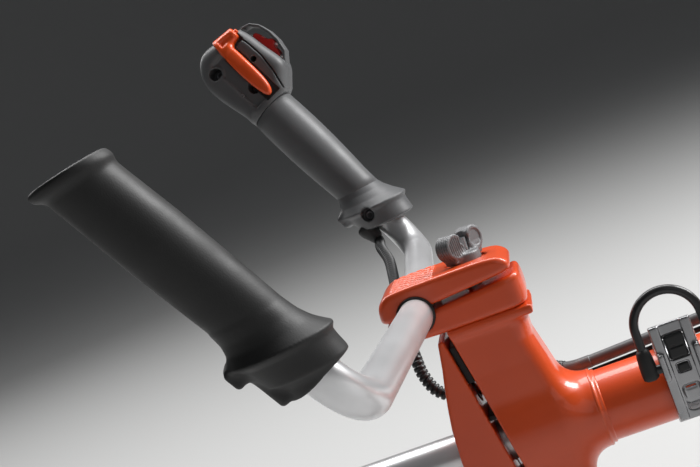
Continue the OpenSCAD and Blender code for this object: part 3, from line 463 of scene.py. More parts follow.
def grown(field, low, high, cell, rounds=2, steps=2):
    """The surface of a distance field as a mesh of even quads, in metres in the field's frame."""
    axes = [np.arange(low[i] - 2 * cell, high[i] + 3 * cell, cell) for i in range(3)]
    value = field(np.meshgrid(*axes, indexing="ij"))
    shape = [len(a) - 1 for a in axes]
    total, count = [np.zeros(shape) for _ in range(3)], np.zeros(shape)
    corners = [(i, j, k) for i in (0, 1) for j in (0, 1) for k in (0, 1)]

    def corner(c):
        return value[c[0]:c[0] + shape[0], c[1]:c[1] + shape[1], c[2]:c[2] + shape[2]]

    for a in corners:
        for axis in range(3):
            if a[axis]:
                continue
            b = tuple(1 if i == axis else a[i] for i in range(3))
            va, vb = corner(a), corner(b)
            crossed = (va < 0) != (vb < 0)
            t = np.where(crossed, va / np.where(crossed, va - vb, 1), 0)
            for i in range(3):
                total[i] += np.where(crossed, (t if i == axis else a[i]), 0)
            count += crossed
    active = count > 0
    index = np.full(shape, -1)
    index[active] = np.arange(active.sum())
    where = np.argwhere(active)
    place = [axes[i][where[:, i]] + cell * total[i][active] / count[active] for i in range(3)]
    for _ in range(steps):
        d = field(place)
        grad = [(field([place[j] + (0.05 if j == i else 0) for j in range(3)]) - d) / 0.05 for i in range(3)]
        size = np.maximum(sum(g * g for g in grad), 0.3)
        place = [place[i] - np.clip(d * grad[i] / size, -cell / 2, cell / 2) for i in range(3)]
    faces = []
    for axis in range(3):
        i1, i2 = [(1, 2), (2, 0), (0, 1)][axis]
        low_side = [slice(None)] * 3
        high_side = [slice(None)] * 3
        low_side[axis], high_side[axis] = slice(0, -1), slice(1, None)
        a, b = value[tuple(low_side)] < 0, value[tuple(high_side)] < 0
        for found, flip in (((a & ~b), False), ((~a & b), True)):
            at = np.argwhere(found)
            at = at[(at[:, i1] > 0) & (at[:, i2] > 0)]
            quad = []
            for s1, s2 in ((-1, -1), (0, -1), (0, 0), (-1, 0)):
                q = at.copy()
                q[:, i1] += s1
                q[:, i2] += s2
                quad.append(index[q[:, 0], q[:, 1], q[:, 2]])
            quad = np.stack(quad[::-1] if flip else quad, axis=1)
            faces.append(quad)
    faces = np.concatenate(faces)
    mesh = bpy.data.meshes.new("grown")
    mesh.from_pydata((np.stack(place, axis=1) * MM).tolist(), [], faces.tolist())
    mesh.validate()
    mesh.update()
    if rounds:
        piece = bpy.data.objects.new("work", mesh)
        bpy.context.scene.collection.objects.link(piece)
        smooth = piece.modifiers.new("smooth", "SMOOTH")
        smooth.factor, smooth.iterations = 0.5, rounds
        settled(piece)
        mesh = piece.data
        bpy.data.objects.remove(piece)
    mesh.shade_smooth()
    return mesh


def frames_along(path):
    """Two side directions at each point, which don't twist along the path."""
    tangents = [(path[min(i + 1, len(path) - 1)] - path[max(i - 1, 0)]).normalized() for i in range(len(path))]
    side = tangents[0].orthogonal().normalized()
    out = []
    for t in tangents:
        side = (side - t * side.dot(t)).normalized()
        out.append((side, t.cross(side)))
    return out


def swept(path, radius, sides=24):
    """A tube along a path with closed ends. radius is a number or one number for each point, in metres."""
    radii = radius if hasattr(radius, "__len__") else [radius] * len(path)
    bm = bmesh.new()
    rings = [[bm.verts.new(p + (a * math.cos(math.tau * k / sides) + b * math.sin(math.tau * k / sides)) * r)
              for k in range(sides)] for p, (a, b), r in zip(path, frames_along(path), radii)]
    for a, b in zip(rings, rings[1:]):
        for k in range(sides):
            j = (k + 1) % sides
            bm.faces.new((a[k], a[j], b[j], b[k]))
    bm.faces.new(rings[0][::-1])
    bm.faces.new(rings[-1])
    bmesh.ops.recalc_face_normals(bm, faces=bm.faces)
    mesh = bpy.data.meshes.new("swept")
    bm.to_mesh(mesh)
    bm.free()
    mesh.shade_smooth()
    return mesh


def splined(points, step):
    """A smooth curve through the points, with a point about every step metres."""
    dense = []
    for i in range(len(points) - 1):
        a, b, c, d = points[max(i - 1, 0)], points[i], points[i + 1], points[min(i + 2, len(points) - 1)]
        for j in range(24):
            t = j / 24
            dense.append((b * 2 + (c - a) * t + (a * 2 - b * 5 + c * 4 - d) * t ** 2
                          + (b * 3 - a - c * 3 + d) * t ** 3) / 2)
    dense.append(points[-1])
    lengths = [0.0]
    for p, q in zip(dense, dense[1:]):
        lengths.append(lengths[-1] + (q - p).length)
    count = max(2, round(lengths[-1] / step))
    out, k = [], 0
    for i in range(count + 1):
        want = lengths[-1] * i / count
        while k < len(dense) - 2 and lengths[k + 1] < want:
            k += 1
        span = lengths[k + 1] - lengths[k]
        out.append(dense[k].lerp(dense[k + 1], (want - lengths[k]) / span if span else 0))
    return out


def rounded_path(points, radii, step=2.0):
    """A path of straight runs with an arc of the given radius at each inner point, all in metres."""
    out = [points[0]]
    for p, q, r, radius in zip(points, points[1:], points[2:], radii):
        u, v = (q - p).normalized(), (r - q).normalized()
        turn = u.angle(v)
        reach = radius * math.tan(turn / 2)
        toward = (v - u * v.dot(u)).normalized()
        centre = q - u * reach + toward * radius
        steps = max(4, round(radius * turn / (step * MM)))
        out += [centre + (u * math.sin(turn * i / steps) - toward * math.cos(turn * i / steps)) * radius
                for i in range(steps + 1)]
    out.append(points[-1])
    return out


make_camera()
make_stage()
make_light()

# ---------- Handle support and clamps ----------
REAR = [(84, 16), (81.4, 18.6), (77.9, 16.4), (72.9, 13.1), (63.3, 12.8), (46.7, 16.7), (35, 19.2), (20, 23),
        (-44, 20)]                       # the neck's rear face: height, and place along x


def neck_f(p):
    """The casting behind the gap: a column that flows into the sleeve's barrel, with a lip on top."""
    x, y, z = p
    heights, rears = zip(*REAR[::-1])
    rear = np.interp(z, heights, rears)
    half = np.interp(z, (-44, -20, 20, 50, 74, 84), (22, 25, 27, 26.6, 27, 28))
    front = -62.0
    column = round_f(np.abs(x - (rear + front) / 2) - (rear - front) / 2, np.abs(y) - half, 13)
    column = meet(column, np.maximum(z - 84, -44 - z), 1.5)
    lip_rear = 18.6
    lip_plan = np.maximum(np.abs(x - (lip_rear + front) / 2) - (lip_rear - front) / 2, np.abs(y) - 28.5)
    lip = round_f(lip_plan, np.abs(z - 80.6) - 3.2, 2.2)
    barrel = rod_f(p, (-70, 0, 0), (36, 0, 0), 27.5, 25.6, 1.2)
    body = join(join(column, barrel, 15), lip, 2.5)
    body = meet(body, (GAP_FOOT - x - z * math.tan(GAP_SLOPE)) * math.cos(GAP_SLOPE), 1.6)
    body = carve(body, rod_f(p, (-80, 0, 0), (10, 0, 0), 16), 0.8)
    body = carve(body, rod_f(p, (-50, 0, 38), (-14, 0, 38), 8), 0.8)
    for side in (-20, 20):
        body = carve(body, rod_f(p, (-50, side, -34), (-8, side, -34), 3.1), 0.5)
    return body


place("neck_casting", grown(neck_f, (-36, -29, -45), (37, 29, 85), 0.9, 3), "shaft_frame", "orange_paint",
      ["handle_support"], matrix=NECK_M)
cast("front_clamp", "orange_paint", 0.8, 14)
UPPER = [(-41, 103.8), (12, 107.6), (15.6, 110.5), (14, 115.4), (5, 119.8), (-30, 119.8), (-58, 119.8),
         (-67, 118.4), (-73.5, 112.5), (-76, 104.5), (-74.6, 100.5), (-66, 101), (-55, 102.5)]
LOWER = [(-56, 84.1), (14, 84.1), (18.4, 86.2), (19.9, 93.4), (19.2, 103), (16.6, 106), (11, 104.2),
         (-40, 100.3), (-60, 98.4), (-74, 99.8), (-69, 93), (-62, 86.6)]


def clamp_f(p, outline, nose):
    """A bar clamp: its side outline, rounded in plan, with the bar's and the bolt's holes."""
    x, y, z = p
    slab = round_f(outline_f(x, z, outline), np.abs(y) - 30, 3.6)
    middle, half = (nose + 20) / 2, (20 - nose) / 2
    plan = round_f(np.abs(x - middle) - half, np.abs(y) - 30, 15)
    body = meet(slab, plan, 4)
    body = carve(body, rod_f(p, (BAR_X, -40, BAR_Z), (BAR_X, 40, BAR_Z), BAR_R + 0.15), 1.6)
    return carve(body, rod_f(p, (BOLT_X, 0, 60), (BOLT_X, 0, 140), 5.1), 0.8)


def lower_f(p):
    return clamp_f(p, curve2(LOWER, 2), -75)


def upper_f(p):
    body = clamp_f(p, curve2(UPPER, 2), -76)
    return carve(body, rod_f(p, (BOLT_X, 0, 118.1), (BOLT_X, 0, 125), 14), 0.8)


place("clamp_lower", grown(lower_f, (-77, -31, 83), (21, 31, 107), 0.75, 2), "bar_clamp", "orange_paint",
      ["lower_clamp"], matrix=NECK_M)
upper = place("clamp_upper", grown(upper_f, (-78, -31, 98), (21, 31, 121), 0.75, 2), "bar_clamp", "orange_paint",
              ["upper_clamp"], matrix=NECK_M)
cast("av_dampers", "black_rubber", 0.7, 3)
keep("av_spring", "steel")
keep("clamp_bolt", "steel")


def raised_patch(target, x0, x1, y0, y1, cell=0.5):
    """A patch of small raised dashes that lies on the top of another piece."""
    length, pitch = 6.2, 4.2
    tree = BVHTree.FromObject(target, bpy.context.evaluated_depsgraph_get())
    bm = bmesh.new()
    nx, ny = round((x1 - x0) / cell), round((y1 - y0) / cell)
    grid = {}
    for i in range(nx + 1):
        for j in range(ny + 1):
            x, y = x0 + i * cell, y0 + j * cell
            hit, normal, _, _ = tree.ray_cast(neck(x, y, 160), Vector((0, 0, -1)))
            row = math.floor((y - y0) / pitch)
            u = ((x - x0 + (row % 2) * length / 2) % length) / length * 2 - 1
            v = ((y - y0) % pitch) / pitch * 2 - 1
            lift = max(0.0, 1 - (u / 0.82) ** 4 - (v / 0.62) ** 4)
            edge = min(i, j, nx - i, ny - j) == 0
            grid[i, j] = bm.verts.new(hit + normal * (-0.3 if edge else 0.12 + 0.55 * lift ** 0.5) * MM)
    for i in range(nx):
        for j in range(ny):
            bm.faces.new((grid[i, j], grid[i + 1, j], grid[i + 1, j + 1], grid[i, j + 1]))
    mesh = bpy.data.meshes.new("patch")
    bm.to_mesh(mesh)
    bm.free()
    mesh.shade_smooth()
    return mesh


place("clamp_patch", raised_patch(upper, -63, -33, -24, 24), "bar_clamp", "orange_paint")


def knob_f(p):
    """The cast knob, turned by a about the bolt: two round wings, one ribbed and one open, on a hub."""
    x, y, z = p
    a = math.radians(54)
    wing_x, wing_z, rib_pitch = 10.5, 131, 1.9
    u, v = x * math.cos(a) + y * math.sin(a), y * math.cos(a) - x * math.sin(a)
    local = [u, v, z]
    hub = rod_f(local, (0, 0, 118.2), (0, 0, 124.5), 11, 10.4, 1.2)
    bridge = box_f(local, (-15, -4.8, 120), (15, 4.8, 128.5), 1.6)
    ribs = 0.42 * (1 + np.cos(v * math.tau / rib_pitch)) * np.clip((np.abs(u) - 11) / 2, 0, 1)
    wings = None
    for s in (-wing_x, wing_x):
        inner = np.sqrt((u - s) ** 2 + (z - wing_z) ** 2)
        rad = inner - 8.4 + ribs
        if s < 0:
            teeth = 0.4 * (1 + np.cos((u - s) * math.tau / rib_pitch)) * np.clip((7.4 - inner) / 1.5, 0, 1)
            wing = round_f(rad, np.abs(v) - 5.7 + teeth, 1.0)
        else:
            wing = carve(round_f(rad, np.abs(v) - 5.7, 1.3), round_f(inner - 5.6, 4.9 - np.abs(v), 0.6), 0.6)
        wings = wing if wings is None else np.minimum(wings, wing)
    body = join(join(hub, bridge, 3), wings, 1.6)
    body = carve(body, rod_f(local, (0, -9, 133.5), (0, 9, 133.5), 4.6), 1)
    return carve(body, rod_f(local, (0, 0, 110), (0, 0, 150), 5.05), 0.5)


place("knob", grown(knob_f, (-21, -21, 117), (21, 21, 141), 0.45, 1), "clamp_knob", "cast_grey", ["clamp_knob"],
      matrix=Matrix.Translation(neck(BOLT_X, 0, 0)))


# ---------- Handlebar and grips ----------
def handlebar_path():
    """The bar's centre line from its left end to its right end."""
    corner, start = neck(*CORNER), neck(BAR_X, 35, BAR_Z)
    end = RIGHT @ Vector((0, 0, 162 * MM))
    half = [start, corner, end]
    mirror = [Vector((p.x, -p.y, p.z)) for p in reversed(half)]
    return rounded_path(mirror + half, [38 * MM, 150 * MM, 150 * MM, 38 * MM], 2)


place("handlebar_tube", swept(handlebar_path(), BAR_R * MM, 64), "handlebar", "bright_aluminium", ["handlebar"])
for side in (-1, 1):       # the dark sleeve in each end of the clamp
    ring = turned([(11.02, -1.2), (12.3, -1.0), (12.5, 0.6), (11.9, 1.4), (11.02, 1.5)], 64)
    seat = Matrix.Translation(neck(BAR_X, side * 29.2, BAR_Z)) @ Matrix.Rotation(-side * math.pi / 2, 4, "X")
    place("clamp_gasket_" + ("left" if side < 0 else "right"), ring, "bar_clamp", "black_rubber", matrix=seat)

COLLAR = [(0, 33), (18.6, 33), (21.5, 34.6), (23.0, 43.4), (24.0, 47.4), (26.6, 50.2), (27.0, 51.6), (25.6, 53.4),
          (22.0, 58.5), (18.6, 65), (17, 71), (0, 72)]


def collar_f(p, size=1.0):
    """The flared cup at a grip's foot. Its rim is level, so it is askew to the arm."""
    x, y, z = p
    rad = np.sqrt((x + 12 * (1 - size)) ** 2 + y * y) / size
    cup = outline_f(rad, z + 0.42 * x - 0.2 * y, COLLAR)
    drop = box_f(p, (-29, -9, 53), (-13, 9, 64), 2.5)
    cup = join(cup, drop, 5)
    return carve(cup, rod_f(p, (-6, -30, 45), (-6, -13, 45), 5.4), 0.6)


place("right_cup", grown(collar_f, (-34, -30, 20), (30, 30, 92), 0.8, 2), "handlebar", "grey_plastic",
      ["right_collar"], matrix=RIGHT)
RIGHT_GRIP = [(0, 60), (17.2, 60), (17.35, 70), (17.6, 78), (18.2, 88), (18.9, 100), (19.5, 113), (19.85, 126),
              (19.95, 140), (19.8, 152), (19.5, 160), (19.3, 166), (18.4, 167.2), (0, 168)]
place("right_grip_body", turned(RIGHT_GRIP, 72), "handlebar", "grey_plastic", ["right_grip"], matrix=RIGHT)


def left_grip_f(p):
    """The left grip: a rubber sleeve with a flared oval end, and its collar in one piece with it."""
    x, y, z = p
    level = z + 0.28 * x - 0.2 * y
    rad = np.sqrt(x * x + y * y)
    radius = np.interp(z, (30, 60, 90, 130, 160, 178), (17.3, 17.3, 17.9, 18.4, 17.9, 17.7))
    body = meet(rad - radius, np.maximum(level - 179, 30 - z), 1)
    oval = (np.sqrt(((x + 1.2) / 20.2) ** 2 + (y / 19.2) ** 2) - 1) * 19.6
    end = round_f(oval, np.abs(level - 177.4) - 2.4, 1.9)
    body = join(body, end, 5)
    body = join(body, collar_f(p, 0.93), 5)
    return join(body, rod_f(p, (-15.5, 3, 31), (-15.5, 0, 52), 7.2, 8, 2), 2.5)


place("left_grip_body", grown(left_grip_f, (-34, -30, 20), (30, 30, 194), 0.9, 2), "handlebar", "black_rubber",
      ["left_grip"], matrix=LEFT)

HEAD = curve2([(-17.4, 166.5), (-18.6, 178), (-21.6, 194), (-23.4, 207), (-22.8, 221), (-18.4, 232), (-9, 240.6),
               (3, 241), (13, 236.6), (22, 234), (31, 233), (34, 222), (35.4, 205), (38, 190), (36.4, 182),
               (27.6, 174), (20.4, 166.5)])
HOOP = [(27, 230.5), (33.5, 231.4), (39.5, 229), (43.9, 222.5), (46, 213), (45.9, 203), (43.4, 192.5),
        (37, 185.5)]
SEAM = [(21, 168), (26.6, 184), (29, 200), (28.6, 215), (26.6, 230)]


def head_f(p):
    """The whole throttle housing, before it is split at the arm's middle plane."""
    x, y, z = p
    body = round_f(outline_f(x, z, HEAD), np.abs(y) - 18.2, 9)
    body = join(body, rod_f(p, (0, 0, 150), (0, 0, 176), 19.6, 18.5, 1), 5)
    body = meet(body, 167.4 - z, 0.5)
    body = carve(body, round_f(line_f(x, z, SEAM) - 0.55, 12 - np.abs(y), 0.1), 0.4)
    return body


def inner_f(p):
    """The housing's inner half, with the lever's slots, the screws' wells and the switch's hoop."""
    x, y, z = p
    body = head_f(p)
    body = carve(body, box_f(p, (-5.5, -30, 174), (6, -15.2, 226), 1.5), 4)
    body = carve(body, box_f(p, (5.2, -30, 171), (19.4, -9, 223), 1.2), 0.8)
    body = carve(body, box_f(p, (7.4, -30, 221.5), (28.6, -6, 250), 1.2), 0.8)
    body = carve(body, box_f(p, (28, -6.6, 189.6), (60, 7, 223), 0.8), 0.6)
    boss = rod_f(p, (-9, -16.2, 219.5), (-9, -10, 219.5), 7.2, 8.6, 1)
    body = join(body, boss, 1.5)
    for x0, z0, r, deep in ((-9, 219.5, 5.3, -3), (5.4, 188, 5.3, -3), (22.4, 203.5, 2.6, -5)):
        body = carve(body, rod_f(p, (x0, -30, z0), (x0, deep, z0), r), 0.6)
    hoop = round_f(line_f(x, z, HOOP) - 1.15, np.abs(y) - 6.6, 0.7)
    return join(np.maximum(body, y + 0.02), hoop, 0.8)


def outer_f(p):
    """The housing's outer half, with the lockout's slot."""
    body = head_f(p)
    body = carve(body, box_f(p, (-6.6, 8, 172), (8.6, 30, 222), 1.2), 0.8)
    body = carve(body, box_f(p, (28, -6.6, 189.6), (60, 7, 223), 0.8), 0.6)
    return np.maximum(body, 0.02 - p[1])


place("throttle_head_inner", grown(inner_f, (-26, -20, 166), (49, 8, 243), 0.6, 1), "handlebar", "grey_plastic",
      ["throttle_inner"], matrix=RIGHT)
place("throttle_head_outer", grown(outer_f, (-26, -1, 166), (40, 20, 243), 0.7, 1), "handlebar", "grey_plastic",
      ["throttle_outer"], matrix=RIGHT)

LEVER = curve2([(8.6, 172.5), (13.8, 172.5), (17.8, 182), (18.6, 203), (18.2, 224), (15.6, 233), (9, 233),
                (6.4, 222), (5.7, 203), (6.3, 184)])


def lever_f(p):
    """The trigger: a bowed blade on the barrel that it turns about."""
    x, y, z = p
    middle = np.interp(z, (172, 180, 192, 206, 220, 231), (-19.6, -21.2, -22.6, -22.9, -21.2, -18.2))
    crown = 0.035 * (x - 12) ** 2
    blade = round_f(outline_f(x, z, LEVER), np.abs(y - middle - crown) - 2.9, 2.3)
    barrel = rod_f(p, (8.2, -15, 231), (27.8, -15, 231), 8.8, 5.4, 1.6)
    body = join(blade, barrel, 5)
    body = carve(body, rod_f(p, (12.5, -24, 231.5), (24, -22.6, 230), 3.4, 2.6, 1), 2)
    return join(body, rod_f(p, (4, -15, 231), (30, -15, 231), 2), 0.4)


place("trigger", grown(lever_f, (3, -28, 170), (31, -4, 242), 0.5, 1), "throttle_trigger", "orange_plastic",
      ["throttle_trigger"], matrix=RIGHT)
cast("throttle_lockout", "black_plastic", 0.5, 4)

ROCKER = curve2([(29.5, 199), (33.4, 192.6), (37.6, 191.2), (40.4, 195), (40.4, 201.6), (44.2, 203.4),
                 (44.2, 207.2), (40.8, 209.4), (39.6, 217), (37.4, 221.6), (34, 221), (29.5, 212)], 2)


def rocker_f(p):
    """The stop switch: a rocker with a thumb dip and four grooves."""
    x, y, z = p
    body = round_f(outline_f(x, z, ROCKER), np.abs(y) - 5.9, 1.2)
    dip = rod_f(p, (46, 0, 196.5), (37.6, 0, 197.2), 3.2)
    body = carve(body, dip, 1.5)
    for k in range(4):
        body = carve(body, box_f(p, (39.2, -7, 211.2 + 2.2 * k), (44, 7, 212.2 + 2.2 * k), 0.2), 0.4)
    return join(body, rod_f(p, (31.5, -8.3, 206.5), (31.5, 8.3, 206.5), 1.5), 0.4)


place("stop_rocker", grown(rocker_f, (28, -9, 190), (46, 9, 223), 0.4, 1), "stop_switch", "red_plastic",
      ["stop_switch"], matrix=RIGHT)


@functools.lru_cache(None)
def screw_mesh(r):
    """A pan-head screw with a six-lobed socket, its head's top at height 0."""
    def field(p):
        x, y, z = p
        rad = np.sqrt(x * x + y * y)
        head = round_f(rad - r, np.abs(z + 0.45 * r) - 0.45 * r, 0.3 * r)
        lobes = 0.42 * r + 0.07 * r * np.cos(6 * np.arctan2(y, x))
        return carve(head, np.maximum(rad - lobes, -0.5 * r - z), 0.1)
    return grown(field, (-r, -r, -r), (r, r, 0), r / 9, 1)


def screw(name, body, matrix, point, axis, r, slot="dark_steel", nodes=()):
    """A screw head at a point of a frame, facing along axis."""
    turn = Vector(axis).to_track_quat("Z", "Y").to_matrix().to_4x4()
    m = matrix @ Matrix.Translation(Vector(point) * MM) @ turn
    return place(name, screw_mesh(r).copy(), body, slot, nodes, matrix=m)


screw("handle_screw_1", "handlebar", RIGHT, (-9, -4.6, 219.5), (0, -1, 0), 4.2, nodes=["handle_screws"])
screw("handle_screw_2", "handlebar", RIGHT, (5.4, -4.4, 188), (0, -1, 0), 4.2)
screw("handle_screw_3", "handlebar", RIGHT, (-6.5, -17.3, 190), (-0.1, -1, 0), 1.7, "steel")
screw("handle_screw_4", "handlebar", RIGHT, (-3.6, -18.4, 171), (-0.1, -1, 0), 1.3, "steel")
screw("collar_screw", "handlebar", RIGHT, (-6, -14.4, 45), (0, -1, 0), 4.2)
screw("left_collar_screw", "handlebar", LEFT, (-6, -14.4, 45), (0, -1, 0), 4.2)

# ---------- Cable loom and conduit ----------
LOOM = [(-92, 271.8, 123), (-91, 266, 120.5), (-89.5, 248, 117.5), (-84, 222, 109), (-82, 190, 98),
        (-80.5, 160, 91), (-78, 120, 86), (-75, 85, 81), (-72.5, 62, 74), (-70.5, 48, 62), (-69, 41, 50),
        (-64, 38, 38), (-54, 37.5, 31), (-38, 37.5, 29), (-22, 37.5, 33), (-10, 37.5, 38), (-1, 37.5, 39),
        (5.5, 37.5, 34.5), (11, 37.5, 29.5), (17, 36.6, 26.2), (22, 34, 24.6)]
CONDUIT = [(19, 36.2, 24.2), (23.5, 33, 23.8), (28, 29, 24), (33, 25.6, 24.5), (40, 25, 24.8)]


def corrugated(path, outer, inner):
    """A ribbed sleeve: the radius goes up and down along the path."""
    shape = [inner, inner, outer, outer, outer, outer]
    radii = [shape[i % 6] * MM for i in range(len(path))]
    return swept(path, radii, 24)


def make_loom():
    """The loom in two pieces, one for each joint that it crosses, and the boot at its upper end."""
    path = splined([neck(*p) for p in LOOM], 0.58 * MM)
    cut = min(range(len(path)), key=lambda i: (path[i] - neck(-75, 85, 81)).length)
    cut -= cut % 6
    far = place("loom_to_handle", corrugated(path[:cut + 1], 4.3, 3.1), None, "black_plastic", ["cable_loom"])
    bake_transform(far)
    near = place("loom_to_neck", corrugated(path[cut:], 4.3, 3.1), None, "black_plastic", ["cable_loom"])
    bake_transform(near)
    boot = RIGHT @ Vector((-17 * MM, -5 * MM, 41 * MM))
    spine = [boot.lerp(path[0], k / 9) for k in range(-2, 10)]
    radii = [v * MM for v in (7, 8.2, 8.3, 8.3, 8.1, 7.8, 7.3, 6.8, 6.3, 5.9, 5.5, 4.8)]
    place("loom_boot", swept(spine, radii, 32), "handlebar", "black_rubber")


make_loom()
keep("cable_conduit", "grey_plastic")
place("conduit_nose", swept(splined([neck(*p) for p in CONDUIT], 1.2 * MM), 4.25 * MM, 32), "shaft_frame",
      "grey_plastic")
cable = splined([neck(37, 27, 17.3), neck(120, 27, 20.6), neck(260, 27, 26.3), neck(452, 27, 34.4)], 8 * MM)
cable = [cable[0] - (cable[1] - cable[0]).normalized() * d * MM for d in (2.0, 1.6, 0.9)] + cable
cable_radii = [r * MM for r in [0.5, 1.3, 1.75] + [1.9] * (len(cable) - 3)]
place("throttle_cable", swept(cable, cable_radii, 20), "shaft_frame", "black_plastic")
BEAD = [(23.3, 34), (25.5, 34.4), (25.9, 35.6), (25.5, 36.8), (24.3, 37.4), (24.6, 38.6), (23.9, 39.6),
        (23.3, 39.8)]
place("sleeve_bead", turned(BEAD, 96), "shaft_frame", "orange_paint",
      matrix=NECK_M @ Matrix.Rotation(math.pi / 2, 4, "Y"))


# ---------- Harness bracket and ring ----------
def bracket_f(p):
    """The harness bracket: a ring round the sleeve, and a slotted plate with two bands and two ears."""
    ring = carve(rod_f(p, (80.3, 0, 0), (107.3, 0, 0), 26, 26, 0.6), rod_f(p, (79, 0, 0), (109, 0, 0), 23.7), 0.3)
    plate = box_f(p, (80.3, -29.2, -19), (107.3, -26.8, 44), 0.9)
    bands = np.minimum(box_f(p, (80.6, -30.8, -18), (86.6, -28, 44), 1.0),
                       box_f(p, (100.6, -30.8, -18), (106.9, -28, 44), 1.0))
    body = join(join(ring, plate, 1.5), bands, 0.8)
    for x0 in (80.3, 103.3):
        body = join(body, box_f(p, (x0, -36, 9), (x0 + 4, -26, 27), 1.6), 1.2)
    body = carve(body, box_f(p, (88, -40, -14), (100, -24, 3), 3), 0.6)
    body = carve(body, box_f(p, (87, -40, 20), (100.2, -25, 37), 2), 0.6)
    return carve(body, box_f(p, (89.6, -40, 11), (97.8, -25, 17.5), 1), 0.5)


place("bracket", grown(bracket_f, (79, -37, -27), (109, 27, 45), 0.6, 1), "shaft_frame", "steel",
      ["suspension_bracket"], matrix=NECK_M)


def buckle_f(p):
    big = box_f(p, (87.4, -31.6, 20.4), (99.8, -26.4, 36.6), 1.8)
    big = carve(big, box_f(p, (89.4, -33, 27.8), (97.8, -31, 29.2), 0.3), 0.5)
    return np.minimum(big, box_f(p, (90, -30.8, 11.4), (97.4, -26.4, 17.1), 1.2))


place("buckle", grown(buckle_f, (87, -33, 10), (101, -26, 38), 0.5, 1), "shaft_frame", "black_plastic",
      matrix=NECK_M)
cast("suspension_ring", "black_coating", 0.6, 6)
BOOT = [(0, -5.4), (3.4, -5.2), (5.0, -4), (5.3, -1), (5.2, 5), (4.9, 10), (4.3, 13.5), (3.2, 15), (0, 15.2)]
for k, x in enumerate((-21, 21)):
    m = Matrix.Translation(neck(93.8 + x, -31, 18))
    place(f"ring_boot_{k + 1}", turned(BOOT, 40), "suspension_ring", "black_rubber", matrix=m)

# ---------- Shaft ----------
keep("shaft_tube", "bright_aluminium")
keep("rear_tube", "orange_paint")
keep("drive_shaft", "steel")
keep("shaft_bushings", "black_rubber")

# ---------- Cutting end ----------
cast("gearbox_housing", "cast_grey", 0.9, 4)
keep("pinion", "dark_steel")
keep("crown_gear", "dark_steel")
keep("output_shaft", "steel")
keep("gearbox_bearings", "steel")
cast("head_housing", "black_plastic", 1.0, 4)
keep("head_spool", "orange_plastic")
cast("bump_button", "orange_plastic", 0.8, 4)
keep("cutting_lines", "nylon")
cast("guard", "black_plastic", 1.5, 4)
keep("guard_screws", "steel")
keep("line_cutter", "steel")

GEAR_OUT = Matrix.Translation(Vector((-1600, 0, SHAFT_Z)) * MM) @ Matrix.Rotation(math.radians(30), 4, "Y")
COIL_TURNS, COIL_SIDES = 4, 28           # the head's spring
coil = [Vector((13 * math.cos(a), 13 * math.sin(a), -94.4 + 16.8 * a / (COIL_TURNS * math.tau))) * MM
        for a in (math.tau * i / COIL_SIDES for i in range(COIL_TURNS * COIL_SIDES + 1))]
spring = place("head_coil", swept(coil, 0.9 * MM, 12), None, "steel", ["head_spring"], matrix=GEAR_OUT)
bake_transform(spring)

# ---------- Engine ----------
cast("clutch_housing", "cast_grey", 1.1, 4)
keep("clutch_drum", "dark_steel")
keep("clutch_shoes", "dark_steel")
cast("crankcase", "cast_grey", 1.2, 4)
keep("crankshaft", "steel")
keep("flywheel", "cast_grey")
keep("piston", "bright_aluminium")
keep("connecting_rod", "steel")
keep("cylinder", "cast_grey")
keep("spark_plug", "ceramic")
cast("engine_cover", "orange_plastic", 1.3, 4)
cast("muffler", "steel", 1.0, 4)
cast("carburettor", "cast_grey", 0.8, 4)
cast("air_filter_cover", "black_plastic", 1.0, 4)
cast("choke_lever", "black_plastic", 0.5, 3)


def tank_f(p):
    """The blow-moulded tank: a soft block with a welded seam, finger recesses and two feet."""
    x, y, z = p
    body = box_f(p, (-61.6, -61.6, 3), (61.6, 61.6, 99.8), 13)
    seam = box_f(p, (-62.8, -62.8, 50), (62.8, 62.8, 53), 1.4)
    body = join(body, round_f(np.maximum(seam, body - 1.6), seam, 0.4), 1)
    for side in (-1, 1):
        body = join(body, box_f(p, (side * 44 - 9, -52, 0.1), (side * 44 + 9, 52, 10), 3), 5)
        body = carve(body, box_f(p, (-34, side * 66 - 7, 62), (34, side * 66 + 7, 88), 5) if side > 0
                     else box_f(p, (-4, -73, 60), (46, -58.6, 90), 5), 4)
        body = carve(body, box_f(p, (-40, side * 66 - 6, 14), (40, side * 66 + 6, 40), 5), 4)
    return join(body, rod_f(p, (-35, -60, 68), (-35, -62.4, 68), 22, 21, 1), 2)


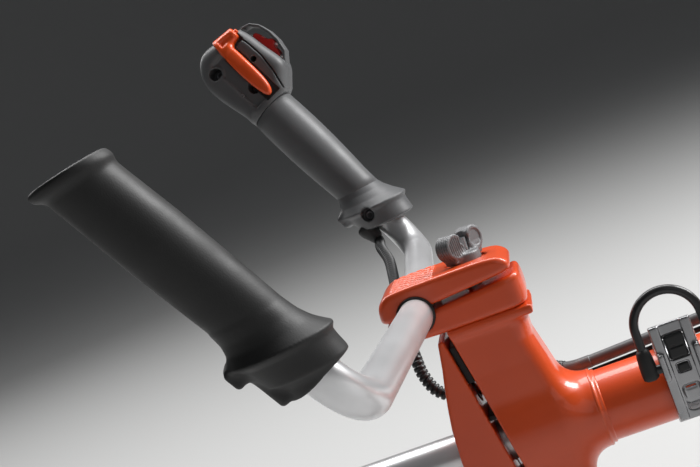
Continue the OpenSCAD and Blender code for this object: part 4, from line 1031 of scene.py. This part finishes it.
place("tank", grown(tank_f, (-64, -64, 0), (64, 64, 100), 1.5, 2), "shaft_frame", "white_plastic", ["fuel_tank"])
cast("fuel_cap", "black_plastic", 0.7, 3)
cast("starter_housing", "orange_plastic", 1.1, 4)
keep("starter_pulley", "black_plastic")
cast("starter_grip", "black_rubber", 0.6, 4)
rope = [Vector((67, -20 - 0.8 * i, 181.75)) * MM for i in range(56)]
rope_radii = [1.7 * MM * (1 + 0.09 * math.sin(i * 1.9)) for i in range(len(rope))]
cord = place("pull_rope", swept(rope, rope_radii, 16), None, "rope", ["starter_rope"])
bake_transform(cord)

# Screws and ears that the castings are held by
ROW = Matrix.Identity(4)
EARS = (("starter", 42.6, 58, "orange_plastic", 1), ("clutch", -64, -40.5, "cast_grey", -1))
EAR_RING = 49.5                          # how far the ears stand off the crankshaft's axis
for k, angle in enumerate((50, 130, 230, 310)):
    y = EAR_RING * math.cos(math.radians(angle))
    z = SHAFT_Z + EAR_RING * math.sin(math.radians(angle))
    for name, x0, x1, slot, way in EARS:
        end = x1 - x0
        outline = ([(0, 0), (6.6, 0), (6.6, end - 2), (5.6, end), (0, end)] if way > 0 else
                   [(0, 0), (5.6, 0), (6.6, 2), (6.6, end), (0, end)])
        m = Matrix.Translation(Vector((x0, y, z)) * MM) @ Matrix.Rotation(math.pi / 2, 4, "Y")
        place(f"{name}_ear_{k + 1}", turned(outline, 32), "shaft_frame", slot, matrix=m)
        top = ((x1 if way > 0 else x0) + way * 2.2, y, z)
        screw(f"{name}_screw_{k + 1}", "shaft_frame", ROW, top, (way, 0, 0), 4.2)
for k, (y, z) in enumerate(((-36, 62), (36, 62), (-36, 120), (36, 120))):
    screw(f"cover_screw_{k + 1}", "shaft_frame", ROW, (43.6, y, SHAFT_Z + z), (1, 0, 0), 4.4)
for k, (x, z) in enumerate(((-28, 98), (30, 98), (-28, 42), (30, 42))):
    screw(f"filter_screw_{k + 1}", "shaft_frame", ROW, (x, -119.4, SHAFT_Z + z), (0, -1, 0), 3.6)
for k, (x, z) in enumerate(((-24, 55), (26, 55), (-24, 105), (26, 105))):
    screw(f"muffler_screw_{k + 1}", "shaft_frame", ROW, (x, 92.6, SHAFT_Z + z), (0, 1, 0), 3.8, "steel")
